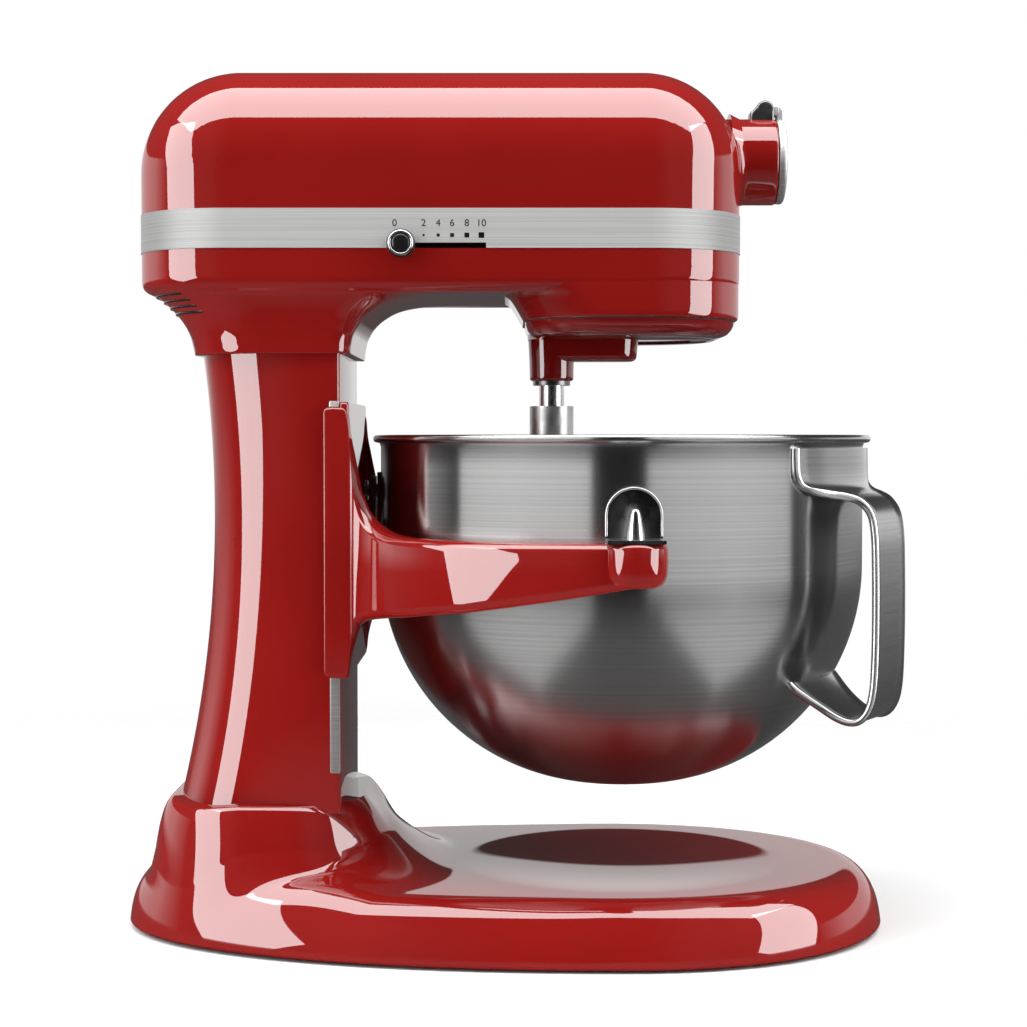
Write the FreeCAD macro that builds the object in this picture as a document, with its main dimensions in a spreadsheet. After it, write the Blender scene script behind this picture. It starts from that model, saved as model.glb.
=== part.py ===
import FreeCAD, Part
import Sketcher
import math
import os
import re
from FreeCAD import Placement, Rotation, Vector

# A bowl-lift stand mixer, in millimetres. +X points to the attachment hub, +Z is up, and the
# origin lies on the counter under the middle of the base.

SIZES = {
    # base casting
    "base_heel": 26.5, "base_toe": 10, "base_half": 111, "base_top": 30, "base_lip": 1,
    "base_roof": 11, "base_wall": 8, "edge_round": 22, "dish_radius": 76, "dish_depth": 6,
    "collar_rise": 36, "collar_wall": 8, "collar_margin": 8, "collar_round": 6.5, "ramp_reach": 110,
    "foot_radius": 11, "foot_height": 7, "foot_inset": 26,
    # column
    "column_gap": 16, "column_depth": 70, "column_lean": 11.5, "column_sweep": 570,
    "column_half": 55, "column_wall": 8, "column_back_round": 36,
    "column_front_round": 2, "column_side_wall": 11,
    "groove_inset": 3, "groove_width": 4.5, "groove_depth": 4, "groove_foot": 80,
    "inlet_radius": 7,
    # head
    "neck_height": 27.5, "head_tail": 27.3, "head_lead": 0.2, "head_half": 66, "head_rise": 68.7,
    "head_round": 44, "head_back_arc": 49, "head_front_arc": 47,
    "head_wall": 3, "floor_wall": 3.5, "floor_round": 12,
    "band_rise": 20.4, "band_width": 18.3, "band_thick": 1.6,
    "band_proud": 0.3, "neck_floor": 8, "neck_lip": 2.5, "slot_pitch": 4,
    "housing_screw": 2.5, "housing_screw_x": 15, "housing_screw_y": 48, "housing_screw_length": 20,
    "housing_screw_sink": 3,
    # gearcase under the head
    "bowl_axis": 57, "case_radius": 55.6, "case_depth": 11.4, "gasket_thick": 0.6,
    "cover_radius": 53, "cover_depth": 8, "cover_round": 5, "cover_screw_circle": 49,
    "cover_screw_sink": 4, "cover_screw_length": 8, "shaft_boss": 32,
    # planetary drive
    "orbit": 34, "ring_teeth": 46, "planet_teeth": 10, "ring_rim": 1.2, "planet_face": 8,
    "carrier_disc": 45, "carrier_gap": 0.7, "carrier_arm_drop": 9.9, "carrier_arm_half": 9,
    "boss_radius": 10.9, "boss_drop": 9.1, "boss_lip": 3,
    "centre_shaft_radius": 6.5, "beater_shaft_radius": 6.2, "bush_wall": 3, "bush_length": 10,
    # beater
    "shaft_drop": 13.2, "collar_length": 24, "beater_collar": 10.8, "beater_pin_radius": 1.9,
    "beater_inset": 12, "beater_foot": 10, "beater_neck": 54.4, "beater_bar": 11, "beater_thick": 9,
    "beater_lift": 16, "beater_gap": 3,
    # horizontal drive
    "bevel_teeth": 30, "bevel_pinion_teeth": 10, "bevel_radius": 27,
    "bevel_face": 7, "spur_teeth": 36, "motor_pinion_teeth": 12, "spur_module": 1.2,
    "spur_face": 9, "lay_shaft_radius": 4.5, "spur_gap": 28, "bracket_gap": 24, "bracket_width": 48,
    "socket_radius": 9,
    # motor
    "motor_radius": 34, "motor_wall": 3, "motor_gap": 1.7, "motor_room": 40.5, "motor_length": 88,
    "motor_shaft_radius": 4, "core_radius": 26.5, "magnet_thick": 3.5, "fan_radius": 28,
    "fan_width": 8, "cradle_seat": 8, "core_inset": 22, "core_length": 50, "commutator_radius": 10,
    # attachment hub
    "nose_radius": 20.5, "nose_length": 19.4, "nose_sink": 27.5, "hub_bore": 12.7,
    "sleeve_wall": 2.3, "sleeve_length": 24,
    "socket_square": 9.6, "lid_thick": 4, "hinge_rise": 25, "hinge_inset": 5,
    "hinge_pin_radius": 1.5, "knuckle_radius": 3.4, "knuckle_half": 3.2,
    "knob_radius": 8, "knob_stem_radius": 3, "knob_length": 16, "nose_flare": 3, "hinge_ear": 3,
    # bowl
    "bowl_radius": 118, "bowl_wall": 1.2, "bowl_gap": 10, "turn_inset": 11, "bowl_sag": 2,
    "bowl_flat": 32, "wall_rise": 63.3, "rim_bead": 3.8, "rim_clearance": 14.1,
    "handle_angle": 29, "handle_stand": 20.5, "handle_half": 20, "handle_thick": 2,
    "handle_drop": 28.3, "handle_height": 106, "handle_bend": 14, "tab_drop": 7.3,
    "rear_pin_drop": 27.3, "rear_pin_radius": 3,
    # bowl support
    "pin_stand": 12, "pin_radius": 4.1, "pin_tip": 1.8, "pin_rise": 13.7,
    "arm_drop": 47.3, "arm_tip_depth": 18, "arm_depth": 36, "arm_gap": 6,
    "arm_thick": 14, "tip_radius": 13.5, "tip_round": 6, "plate_thick": 4,
    "arm_root_depth": 20, "arm_root_reach": 9, "pin_seat": 8,
    "wing_thick": 4.5, "wing_drop": 67, "wing_rise": 63,
    "bracket_half": 12.6, "bracket_rise": 24, "bracket_thick": 1.6,
    # lift
    "lift_travel": 32, "lift_inset": 45, "lift_drop": 3, "lift_shaft_radius": 6,
    "crank_pin_radius": 4, "lever_clear": 6, "lever_thick": 6, "grip_radius": 7,
    "tongue_half": 8, "tongue_rise": 11, "lift_slack": 1.1, "bush_right": 1, "lever_gap": 3,
    # speed control
    "knob_lead": 29.6, "speed_travel": 36, "speed_knob_radius": 6.5, "speed_knob_depth": 8,
    "knob_stand": 1.5, "slot_height": 2.4, "stem_half": 2, "controller_depth": 12,
    "slider_half": 9, "slider_thick": 2,
    # shared clearances and fasteners
    "running_gap": 0.05, "moving_gap": 0.5, "screw_gap": 0.15, "skin_gap": 0.05, "seat_gap": 0.3,
    "large_screw": 4, "small_screw": 1.5, "head_factor": 1.8,
}

TURNS = {
    "x": Rotation(Vector(0, 1, 0), 90),
    "y": Rotation(Vector(1, 0, 0), -90),
    "z": Rotation(),
}
# shares of the tooth module and pitch
TIP_HEIGHT = 0.8
ROOT_DEPTH = 1.05
TOOTH_FILL = 0.36
FLANK_LEAN = math.tan(math.radians(20))
# each bowl arm runs this many degrees round the bowl's axis
ARM_SWEEP = 71

# places that follow from the sizes: heights are stacked from the base up through the bowl to the
# head, and lengths from the bowl's axis back to the column; the lift crank stands 45 degrees above
# level at rest and ends 45 degrees below it
DERIVED = {
    "collar_top": "base_top + collar_rise",
    "bowl_bottom": "base_top + lift_travel + bowl_gap",
    "bowl_turn": "bowl_radius - turn_inset",
    "turn_height": "bowl_bottom + bowl_turn - bowl_sag",
    "rim_top": "turn_height + wall_rise",
    "handle_high": "rim_top - handle_drop",
    "handle_low": "handle_high - handle_height",
    "tab_top": "rim_top - tab_drop",
    "rear_pin_height": "rim_top - rear_pin_drop",
    "arm_top": "rim_top - arm_drop",
    "arm_tip_bottom": "arm_top - arm_tip_depth",
    "arm_root_bottom": "arm_top - arm_depth",
    "wing_bottom": "arm_top - wing_drop",
    "wing_top": "arm_top + wing_rise",
    "bracket_top": "arm_top + bracket_rise",
    "lift_height": "arm_top - lift_drop",
    "collar_top_height": "rim_top + rim_clearance",
    "beater_shoulder": "collar_top_height - beater_neck",
    "beater_half": "bowl_radius - orbit - beater_inset",
    "boss_bottom": "collar_top_height + shaft_drop",
    "carrier_arm_bottom": "boss_bottom + boss_drop",
    "cover_bottom": "carrier_arm_bottom + carrier_arm_drop",
    "case_bottom": "cover_bottom + cover_depth",
    "head_floor": "case_bottom + case_depth",
    "column_top": "head_floor - neck_height",
    "inner_floor": "head_floor + floor_wall",
    "band_bottom": "head_floor + band_rise",
    "band_top": "band_bottom + band_width",
    "head_top": "band_top + head_rise",
    "motor_height": "inner_floor + motor_radius + motor_gap",
    "hub_height": "motor_height + spur_module * (spur_teeth + motor_pinion_teeth) / 2",
    "hinge_height": "hub_height + hinge_rise",
    "speed_height": "band_bottom + slot_height / 2",
    "carrier_top": "case_bottom - gasket_thick - 1",
    "column_front": "bowl_axis - bowl_radius - column_gap",
    "column_back": "column_front - column_depth",
    "column_foot_back": "column_back - column_lean",
    "base_back": "column_foot_back - base_heel",
    "base_front": "bowl_axis + bowl_radius + base_toe",
    "lift_x": "column_front - lift_inset",
    "knob_x": "column_front + knob_lead",
    "head_back": "column_back - head_tail",
    "head_front": "bowl_axis + case_radius + head_lead",
    "motor_back": "head_back + motor_room",
    "motor_front": "motor_back + motor_length",
    "core_back": "motor_back + core_inset",
    "core_front": "core_back + core_length",
    "spur_back": "motor_front + spur_gap",
    "bracket_x": "spur_back + bracket_gap",
    "nose_end": "head_front + nose_length",
    "nose_root": "head_front - nose_sink",
    "hinge_x": "nose_end - hinge_inset",
    "sleeve_start": "nose_end - sleeve_length",
    "hub_knob_x": "nose_end - knob_radius",
    "handle_reach": "bowl_radius + handle_stand",
    "pin_reach": "bowl_radius + pin_stand",
    "arm_inner": "bowl_radius + arm_gap",
    "arm_outer": "arm_inner + arm_thick",
    "plate_half": "column_half + moving_gap + wing_thick",
    "core_half": "column_half - column_side_wall",
    "core_round": "column_back_round - column_wall",
    "bush_inner": "core_half - core_round / 4",
    "crank_pin_x": "lift_x + lift_travel / 2",
    "crank_pin_z": "lift_height + lift_travel / 2",
    "crank_reach": "lift_travel / sqrt(2)",
    "lever_face": "plate_half + lever_gap",
    "lever_length": "bowl_axis - sqrt(bowl_radius ^ 2 - lever_face ^ 2) - lift_x - grip_radius - lever_clear",
    "ring_outer": "orbit * (ring_teeth + 2.1) / (ring_teeth - planet_teeth) + ring_rim",
    "slider_face": "head_half - band_thick - head_wall - moving_gap",
}

doc = FreeCAD.newDocument("stand_mixer")
sheet = doc.addObject("Spreadsheet::Sheet", "sizes")
for row, (alias, number) in enumerate(SIZES.items(), 1):
    sheet.set(f"A{row}", alias)
    sheet.set(f"B{row}", str(number))
    sheet.setAlias(f"B{row}", alias)
doc.recompute()
nodes = []


# Helpers: expressions, primitives and booleans


def bound(text):
    """The expression with each size name turned into a reference to its cell."""
    def reference(match):
        name = match[0]
        if name in DERIVED:
            return f"({bound(DERIVED[name])})"
        return f"sizes.{name}" if name in SIZES else name

    return re.sub(r"[a-z_]+", reference, str(text))


def val(text):
    """The number that an expression stands for now."""
    return float(sheet.evalExpression(bound(text)))


def keep(solid):
    """Hand a finished sub-part in under its own name."""
    nodes.append(solid)
    return solid


def box(name, x, y, z):
    """A block between three (low, high) pairs of expressions."""
    solid = doc.addObject("Part::Box", name)
    for axis, side, (low, high) in zip("xyz", ("Length", "Width", "Height"), (x, y, z)):
        solid.setExpression(side, bound(f"({high}) - ({low})"))
        solid.setExpression(f"Placement.Base.{axis}", bound(low))
    return solid


def locate(solid, axis, start, at):
    """Lay a turned primitive along an axis, from start, through its other two coordinates."""
    solid.Placement = Placement(Vector(), TURNS[axis])
    others = [letter for letter in "xyz" if letter != axis]
    for letter, text in zip([axis, *others], [start, *at]):
        solid.setExpression(f"Placement.Base.{letter}", bound(text))
    return solid


def rod(name, axis, radius, span, at):
    """A cylinder along an axis over a (low, high) span."""
    solid = doc.addObject("Part::Cylinder", name)
    solid.setExpression("Radius", bound(radius))
    solid.setExpression("Height", bound(f"({span[1]}) - ({span[0]})"))
    return locate(solid, axis, span[0], at)


def cone(name, axis, radii, span, at):
    """A cone along an axis from the first radius to the second."""
    solid = doc.addObject("Part::Cone", name)
    solid.setExpression("Radius1", bound(radii[0]))
    solid.setExpression("Radius2", bound(radii[1]))
    solid.setExpression("Height", bound(f"({span[1]}) - ({span[0]})"))
    return locate(solid, axis, span[0], at)


def join(name, *pieces):
    solid = doc.addObject("Part::MultiFuse", name)
    solid.Shapes = list(pieces)
    return solid


def cut(name, base, *tools):
    solid = doc.addObject("Part::Cut", name)
    solid.Base = base
    solid.Tool = tools[0] if len(tools) == 1 else join(name + "_tools", *tools)
    return solid


def group(name, pieces):
    """Separate solids of one kind under one name."""
    solid = doc.addObject("Part::Compound", name)
    solid.Links = list(pieces)
    return solid


def feature(name, shape, placement=Placement()):
    """A shape worked out here from the sheet's numbers."""
    solid = doc.addObject("Part::Feature", name)
    solid.Shape = shape
    solid.Placement = placement
    return solid


# Helpers: sketched bodies


def arc_middle(start, end, radius):
    """The middle of the short arc between two points; a positive radius bulges to the right."""
    chord = end - start
    half = chord.Length / 2
    rise = abs(radius) - math.sqrt(max(radius * radius - half * half, 0))
    right = Vector(chord.y, -chord.x).normalize()
    return (start + end) / 2 + right * math.copysign(rise, radius)


def sketch_outline(body, plane, points, level="0"):
    """A closed sketch whose corners, and the radius of each arc after a corner, are bound."""
    sketch = body.newObject("Sketcher::SketchObject", body.Name + "_sketch")
    support = [plane_ for plane_ in body.Origin.OriginFeatures if plane_.Role == plane][0]
    sketch.AttachmentSupport = [(support, "")]
    sketch.MapMode = "FlatFace"
    sketch.setExpression("AttachmentOffset.Base.z", bound(level))
    places = [Vector(val(point[0]), val(point[1])) for point in points]
    ends = []
    for number, point in enumerate(points):
        start = places[number]
        end = places[(number + 1) % len(points)]
        if len(point) == 3:
            radius = val(point[2])
            sketch.addGeometry(Part.Arc(start, arc_middle(start, end, radius), end))
            ends.append((1, 2) if radius > 0 else (2, 1))
        else:
            sketch.addGeometry(Part.LineSegment(start, end))
            ends.append((1, 2))
    for number, point in enumerate(points):
        after = (number + 1) % len(points)
        sketch.addConstraint(Sketcher.Constraint("Coincident", number, ends[number][1], after,
                                                 ends[after][0]))
        for kind, text, now in zip(("DistanceX", "DistanceY"), point, places[number]):
            rule = Sketcher.Constraint(kind, -1, 1, number, ends[number][0], now)
            sketch.setExpression(f"Constraints[{sketch.addConstraint(rule)}]", bound(text))
        if len(point) == 3:
            rule = Sketcher.Constraint("Radius", number, abs(val(point[2])))
            sketch.setExpression(f"Constraints[{sketch.addConstraint(rule)}]", bound(f"abs({point[2]})"))
    return sketch


def pad(name, plane, points, length, level="0", middle=False):
    """A body padded from one outline."""
    body = doc.addObject("PartDesign::Body", name)
    sketch = sketch_outline(body, plane, points, level)
    solid = body.newObject("PartDesign::Pad", name + "_pad")
    solid.Profile = sketch
    solid.Midplane = middle
    solid.setExpression("Length", bound(length))
    return body


def turned(name, points, at=("0", "0"), angle=360, start=0):
    """A body turned from a half section (radius, height) about a vertical axis through at."""
    body = doc.addObject("PartDesign::Body", name)
    sketch = sketch_outline(body, "XZ_Plane", points)
    solid = body.newObject("PartDesign::Revolution", name + "_turn")
    solid.Profile = sketch
    solid.ReferenceAxis = (sketch, ["V_Axis"])
    solid.Midplane = True
    solid.Angle = angle
    body.Placement = Placement(Vector(), Rotation(Vector(0, 0, 1), start))
    body.setExpression("Placement.Base.x", bound(at[0]))
    body.setExpression("Placement.Base.y", bound(at[1]))
    return body


def round_edges(body, radius, pick):
    """Fillet the edges of a body that pick accepts."""
    doc.recompute()
    base = body.Tip
    names = [f"Edge{n}" for n, edge in enumerate(base.Shape.Edges, 1) if pick(edge)]
    fillet = body.newObject("PartDesign::Fillet", body.Name + "_round")
    fillet.Base = (base, names)
    fillet.setExpression("Radius", bound(radius))
    return body


def plan(back, front, half, round_):
    """Corners of a rounded rectangle seen from above, anticlockwise, arcs of one radius."""
    return [
        (f"{back} + {round_}", f"-({half})"),
        (f"{front} - {round_}", f"-({half})", round_),
        (front, f"-({half}) + {round_}"),
        (front, f"{half} - {round_}", round_),
        (f"{front} - {round_}", half),
        (f"{back} + {round_}", half, round_),
        (back, f"{half} - {round_}"),
        (back, f"-({half}) + {round_}", round_),
    ]


# Helpers: sections by formula, and gears


def egg(back, front, wide, half, level, back_power, front_power, count=40):
    """A closed curve: |x/a|^p + |y/b|^p = 1, with its own length and power before and behind."""
    points = []
    for number in range(count):
        angle = 2 * math.pi * number / count
        along, across = math.cos(angle), math.sin(angle)
        power = front_power if along > 0 else back_power
        reach = front - wide if along > 0 else wide - back
        x = wide + math.copysign(reach * abs(along) ** (2 / power), along)
        y = math.copysign(half * abs(across) ** (2 / power), across)
        points.append(Vector(x, y, level))
    curve = Part.BSplineCurve()
    curve.interpolate(points, PeriodicFlag=True)
    return Part.Wire(curve.toShape())


def rounded(back, front, half, back_round, front_round, level):
    """A closed wire of four lines and four arcs, rounded more at the back."""
    corners = (
        (back, -half, back_round, 180), (front, -half, front_round, 270),
        (front, half, front_round, 0), (back, half, back_round, 90),
    )
    arcs = []
    for x, y, radius, start in corners:
        middle = Vector(x - math.copysign(radius, x - (back + front) / 2), y - math.copysign(radius, y),
                        level)
        arcs.append(Part.makeCircle(radius, middle, Vector(0, 0, 1), start, start + 90))
    edges = []
    for arc, after in zip(arcs, arcs[1:] + arcs[:1]):
        edges += [arc, Part.makeLine(arc.lastVertex().Point, after.firstVertex().Point)]
    return Part.Wire(edges)


def tooth_ring(teeth, pitch_radius, phase, inward=False):
    """A closed wire of straight-sided teeth, one of them centred on the phase angle."""
    module = 2 * pitch_radius / teeth
    way = -1 if inward else 1
    root = pitch_radius - way * ROOT_DEPTH * module
    tip = pitch_radius + way * TIP_HEIGHT * module
    corners = []
    for number in range(teeth):
        middle = phase + 2 * math.pi * number / teeth
        for radius, side in ((root, -1), (tip, -1), (tip, 1), (root, 1)):
            half = TOOTH_FILL * math.pi * module / 2 - way * (radius - pitch_radius) * FLANK_LEAN
            angle = middle + side * half / radius
            corners.append(Vector(radius * math.cos(angle), radius * math.sin(angle)))
    return Part.makePolygon(corners + corners[:1])


def spur_gear(teeth, pitch_radius, phase, face, bore):
    """A spur gear along +Z from the origin, with a round bore."""
    blank = Part.Face(tooth_ring(teeth, pitch_radius, phase)).extrude(Vector(0, 0, face))
    return blank.cut(Part.makeCylinder(bore, face))


def bevel_gear(teeth, pitch_radius, mate_radius, face, phase, back, bore):
    """A straight bevel gear along +Z whose cones meet at the origin."""
    lean = math.atan2(pitch_radius, mate_radius)
    slant = math.hypot(pitch_radius, mate_radius)
    module = 2 * pitch_radius / teeth

    def at(angle, share, height, across):
        out = Vector(math.cos(angle), math.sin(angle), 0)
        along = out * math.sin(lean) + Vector(0, 0, math.cos(lean))
        away = out * math.cos(lean) - Vector(0, 0, math.sin(lean))
        side = Vector(-math.sin(angle), math.cos(angle), 0)
        return (along * slant + away * height * module + side * across * module) * share

    def tooth(angle):
        half = TOOTH_FILL * math.pi / 2
        corners = []
        for height, side in ((-ROOT_DEPTH, -1), (TIP_HEIGHT, -1), (TIP_HEIGHT, 1), (-ROOT_DEPTH, 1)):
            corners.append((height, side * (half - height * FLANK_LEAN)))
        ends = []
        for share in (1 - face / slant, 1):
            ring = [at(angle, share, height, across) for height, across in corners]
            ends.append(Part.makePolygon(ring + ring[:1]))
        return Part.makeLoft(ends, True, True)

    inner = at(0, 1 - face / slant, -ROOT_DEPTH * 0.8, 0)
    outer = at(0, 1, -ROOT_DEPTH * 0.8, 0)
    rear = outer.z + back
    section = [Vector(bore, 0, inner.z), inner, outer, Vector(outer.x, 0, rear), Vector(bore, 0, rear)]
    blank = Part.Face(Part.makePolygon(section + section[:1])).revolve(Vector(), Vector(0, 0, 1), 360)
    teeth_solids = [tooth(phase + 2 * math.pi * number / teeth) for number in range(teeth)]
    return blank.fuse(teeth_solids).removeSplitter()


def screw(name, axis_points, radius, head_side, length, head_height):
    """A pan-head screw along Z: the shank, and the head at its lower or upper end."""
    x, y, seat = axis_points
    if head_side == "below":
        shank = (seat, f"{seat} + {length}")
        head = (f"{seat} - {head_height}", seat)
    else:
        shank = (f"{seat} - ({length})", seat)
        head = (seat, f"{seat} + {head_height}")
    return join(
        name,
        rod(name + "_shank", "z", radius, shank, (x, y)),
        rod(name + "_head", "z", f"{radius} * head_factor", head, (x, y)),
    )


# Stand: base, feet, column


def base_casting():
    """A plate with a swept pedestal, hollow from below, on bosses for its feet."""
    rear_end, front_end, half = val("base_back"), val("base_front"), val("base_half")
    top, lip, wide, soft = val("base_top"), val("base_lip"), val("bowl_axis"), val("edge_round")
    # the edge: inset as a share of its rounding, at shares of the height
    edge = ((0, 0.28), (0.06, 0.1), (0.2, 0), (0.52, 0.12), (0.8, 0.36), (0.94, 0.64), (1, 1))
    plate = Part.makeLoft([
        egg(rear_end + soft * inset, front_end - soft * inset, wide, half - soft * inset,
            lip + (top - lip) * share, 2.5, 2.1)
        for share, inset in edge
    ], True)
    # the pedestal: a collar round the column's foot that sweeps out into the plate
    margin, soft_top, ramp = val("collar_margin"), val("collar_round"), val("ramp_reach")
    back, front = val("column_foot_back") - margin, val("column_front") + margin
    side = val("column_half") + margin
    low, high = val("base_top / 2 + 2"), val("collar_top")
    sections = []
    for share in (0, 0.1, 0.2, 0.3, 0.4, 0.5, 0.6, 0.7, 0.8, 0.9, 0.95, 0.985, 1):
        fall = 1 - share
        drop = soft_top * (1 - math.sqrt(1 - max(0, (share - 0.9) / 0.1) ** 2))
        behind = 3 * fall + 9 * fall ** 2 - drop
        ahead = ramp * (0.4 * fall + 0.6 * fall ** 6) - drop
        beside = 4 * fall + 20 * fall ** 2 - drop
        middle = (back + front - behind + ahead) / 2
        sections.append(egg(back - behind, front + ahead, middle, side + beside, low + (high - low) * share,
                            3, 2.1 + 2.4 * share ** 3))
    pedestal = Part.makeLoft(sections, True)
    wall = val("base_wall")
    hollow = Part.makeLoft([
        egg(rear_end + wall * 2, front_end - wall * 2, wide, half - wall * 2, level, 2.5, 2.1)
        for level in (0, top - val("base_roof"))
    ], True)
    dish = val("dish_radius")
    depth = val("dish_depth")
    ball = (dish * dish + depth * depth) / (2 * depth)
    bowl_dish = Part.makeSphere(ball, Vector(wide, 0, top + ball - depth)).common(
        Part.makeCylinder(dish, 2 * depth, Vector(wide, 0, top - depth)))
    well = Part.makeBox(
        val("column_front - column_foot_back") - 2 * wall, 2 * val("core_half"),
        val("collar_top - collar_wall"), Vector(val("column_foot_back") + wall, -val("core_half"), 0))
    casting = plate.fuse(pedestal).cut([hollow, bowl_dish, well])
    boss_top = top - val("base_roof") + 1
    bosses = [
        Part.makeCylinder(val("foot_radius + 2"), boss_top - val("foot_height"),
                          Vector(x, y, val("foot_height")))
        for x, y in foot_places()
    ]
    holes = [
        Part.makeCylinder(val("large_screw + screw_gap"), val("collar_top"), Vector(val(x), val(y), 0))
        for x, y in column_screw_places()
    ]
    return keep(feature("base_casting", casting.fuse(bosses).cut(holes)))


def foot_places():
    """Three feet under the bowl end and two under the column end."""
    front = val("base_front - foot_inset - foot_radius")
    side = val("base_half - foot_inset")
    wide = val("bowl_axis")
    rear = val("base_back + foot_inset + foot_radius * 2.5")
    return [(front, 0), (wide, side), (wide, -side), (rear, side * 0.5), (rear, -side * 0.5)]


def rubber_feet():
    return keep(feature("rubber_feet", Part.makeCompound([
        Part.makeCone(val("foot_radius - 1"), val("foot_radius"), val("foot_height"), Vector(x, y, 0))
        for x, y in foot_places()
    ])))


def core_room(name, low, high):
    """The column's hollow core, rounded behind like the column."""
    back, front = "column_back + column_wall", "column_front - column_wall"
    return pad(name, "XY_Plane", [
        (f"{back} + core_round", "-core_half"), (front, "-core_half"), (front, "core_half"),
        (f"{back} + core_round", "core_half", "core_round"), (back, "core_half - core_round"),
        (back, "core_round - core_half", "core_round"),
    ], f"{high} - ({low})", level=low)


def column_screw_places():
    """Four screws in the floor and the roof of the column, in from its walls."""
    inset = "large_screw * head_factor + 2"
    back = f"column_back + column_wall + {inset}"
    front = f"column_front - column_wall - ({inset})"
    near, far = "core_half - core_round * 0.75", f"core_half - ({inset})"
    return [(back, near), (back, f"-({near})"), (front, far), (front, f"-({far})")]


def column_casting():
    """The tall casting: a swept back, a hollow core, a guide groove down each side."""
    blank = pad("column_blank", "XZ_Plane", [
        ("column_front", "collar_top"),
        ("column_front", "column_top"),
        ("column_back", "column_top", "-column_sweep"),
        ("column_foot_back", "collar_top"),
    ], "2 * column_half", middle=True)
    half = val("column_half")
    back = val("column_back")
    front = val("column_front")

    def at_side(edge):
        return all(abs(abs(vertex.Point.y) - half) < 0.01 for vertex in edge.Vertexes) and edge.Length > 150

    round_edges(blank, "column_back_round", lambda edge: at_side(edge) and edge.BoundBox.XMax < back + 10)
    round_edges(blank, "column_front_round", lambda edge: at_side(edge) and edge.BoundBox.XMin > front - 1)
    core = core_room("column_core", "collar_top + column_wall", "column_top - column_wall")
    grooves = []
    for side, low, high in (("left", "column_half - groove_depth", "column_half + 1"),
                            ("right", "-column_half - 1", "-column_half + groove_depth")):
        grooves.append(box("groove_" + side,
                           ("column_front - groove_inset - groove_width", "column_front - groove_inset"),
                           (low, high), ("groove_foot", "wing_top + 2 * groove_inset")))
    slot = box("lift_slot", ("column_front - column_wall - 1", "column_front + 1"),
               ("-tongue_half", "tongue_half"),
               ("crank_pin_z - lift_travel - tongue_rise - 2", "crank_pin_z + tongue_rise + 2"))
    seat_radius = "lift_shaft_radius + bush_wall"
    seats = [
        rod("lift_seat_left", "y", seat_radius, ("bush_inner", "column_half + 1"), ("lift_x", "lift_height")),
        rod("lift_seat_right", "y", seat_radius, ("-core_half - bush_right", "-bush_inner"),
            ("lift_x", "lift_height")),
    ]
    inlet = rod("inlet_hole", "y", "inlet_radius", ("core_half", "column_half + 1"),
                ("column_foot_back + 34", "groove_foot + 20"))
    holes = [
        rod(f"column_hole_{n}{m}", "z", "large_screw + screw_gap", span, place)
        for n, place in enumerate(column_screw_places())
        for m, span in enumerate((("collar_top - 1", "collar_top + column_wall + 1"),
                                  ("column_top - column_wall - 1", "column_top + 1")))
    ]
    wire_hole = rod("wire_hole", "z", "large_screw * 2", ("column_top - column_wall - 1", "column_top + 1"),
                    ("(column_back + column_front) / 2", "0"))
    return keep(cut("column_casting", blank, core, *grooves, slot, *seats, inlet, *holes, wire_hole))


def column_screws():
    """Screws up through the collar into the column, and down through the neck into its top."""
    pieces = []
    for number, (x, y) in enumerate(column_screw_places()):
        pieces.append(screw(f"foot_screw_{number}", (x, y, "collar_top - collar_wall"),
                            "large_screw", "below", "collar_wall + column_wall", "large_screw"))
        pieces.append(screw(f"neck_screw_{number}", (x, y, "column_top + neck_floor"),
                            "large_screw", "above", "neck_floor + column_wall", "large_screw"))
    return keep(group("column_screws", pieces))


def cord_gland():
    """A bush in the column's left side, low down, for the mains lead."""
    place = ("column_foot_back + 34", "groove_foot + 20")
    body = rod("gland_body", "y", "inlet_radius", ("core_half", "column_half"), place)
    rim = rod("gland_rim", "y", "inlet_radius + 2.5", ("column_half", "column_half + 2"), place)
    bore = rod("gland_bore", "y", "inlet_radius / 2", ("core_half - 1", "column_half + 3"), place)
    return keep(cut("cord_gland", join("gland_blank", body, rim), bore))


# Bowl lift: shaft, crank, lever


def lift_bushes():
    spans = {"left": ("bush_inner", "column_half + 1.5"), "right": ("-core_half - bush_right", "-bush_inner")}
    bushes = []
    for side, span in spans.items():
        outer = rod(f"lift_bush_{side}_outer", "y", "lift_shaft_radius + bush_wall", span,
                    ("lift_x", "lift_height"))
        inner = rod(f"lift_bush_{side}_inner", "y", "lift_shaft_radius + running_gap", span,
                    ("lift_x", "lift_height"))
        bushes.append(cut(f"lift_bush_{side}", outer, inner))
    return keep(group("lift_bushes", bushes))


def lift_shaft():
    return keep(rod("lift_shaft", "y", "lift_shaft_radius",
                    ("-core_half - bush_right + moving_gap",
                     "plate_half + lever_gap + lever_thick + 2"), ("lift_x", "lift_height")))


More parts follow.
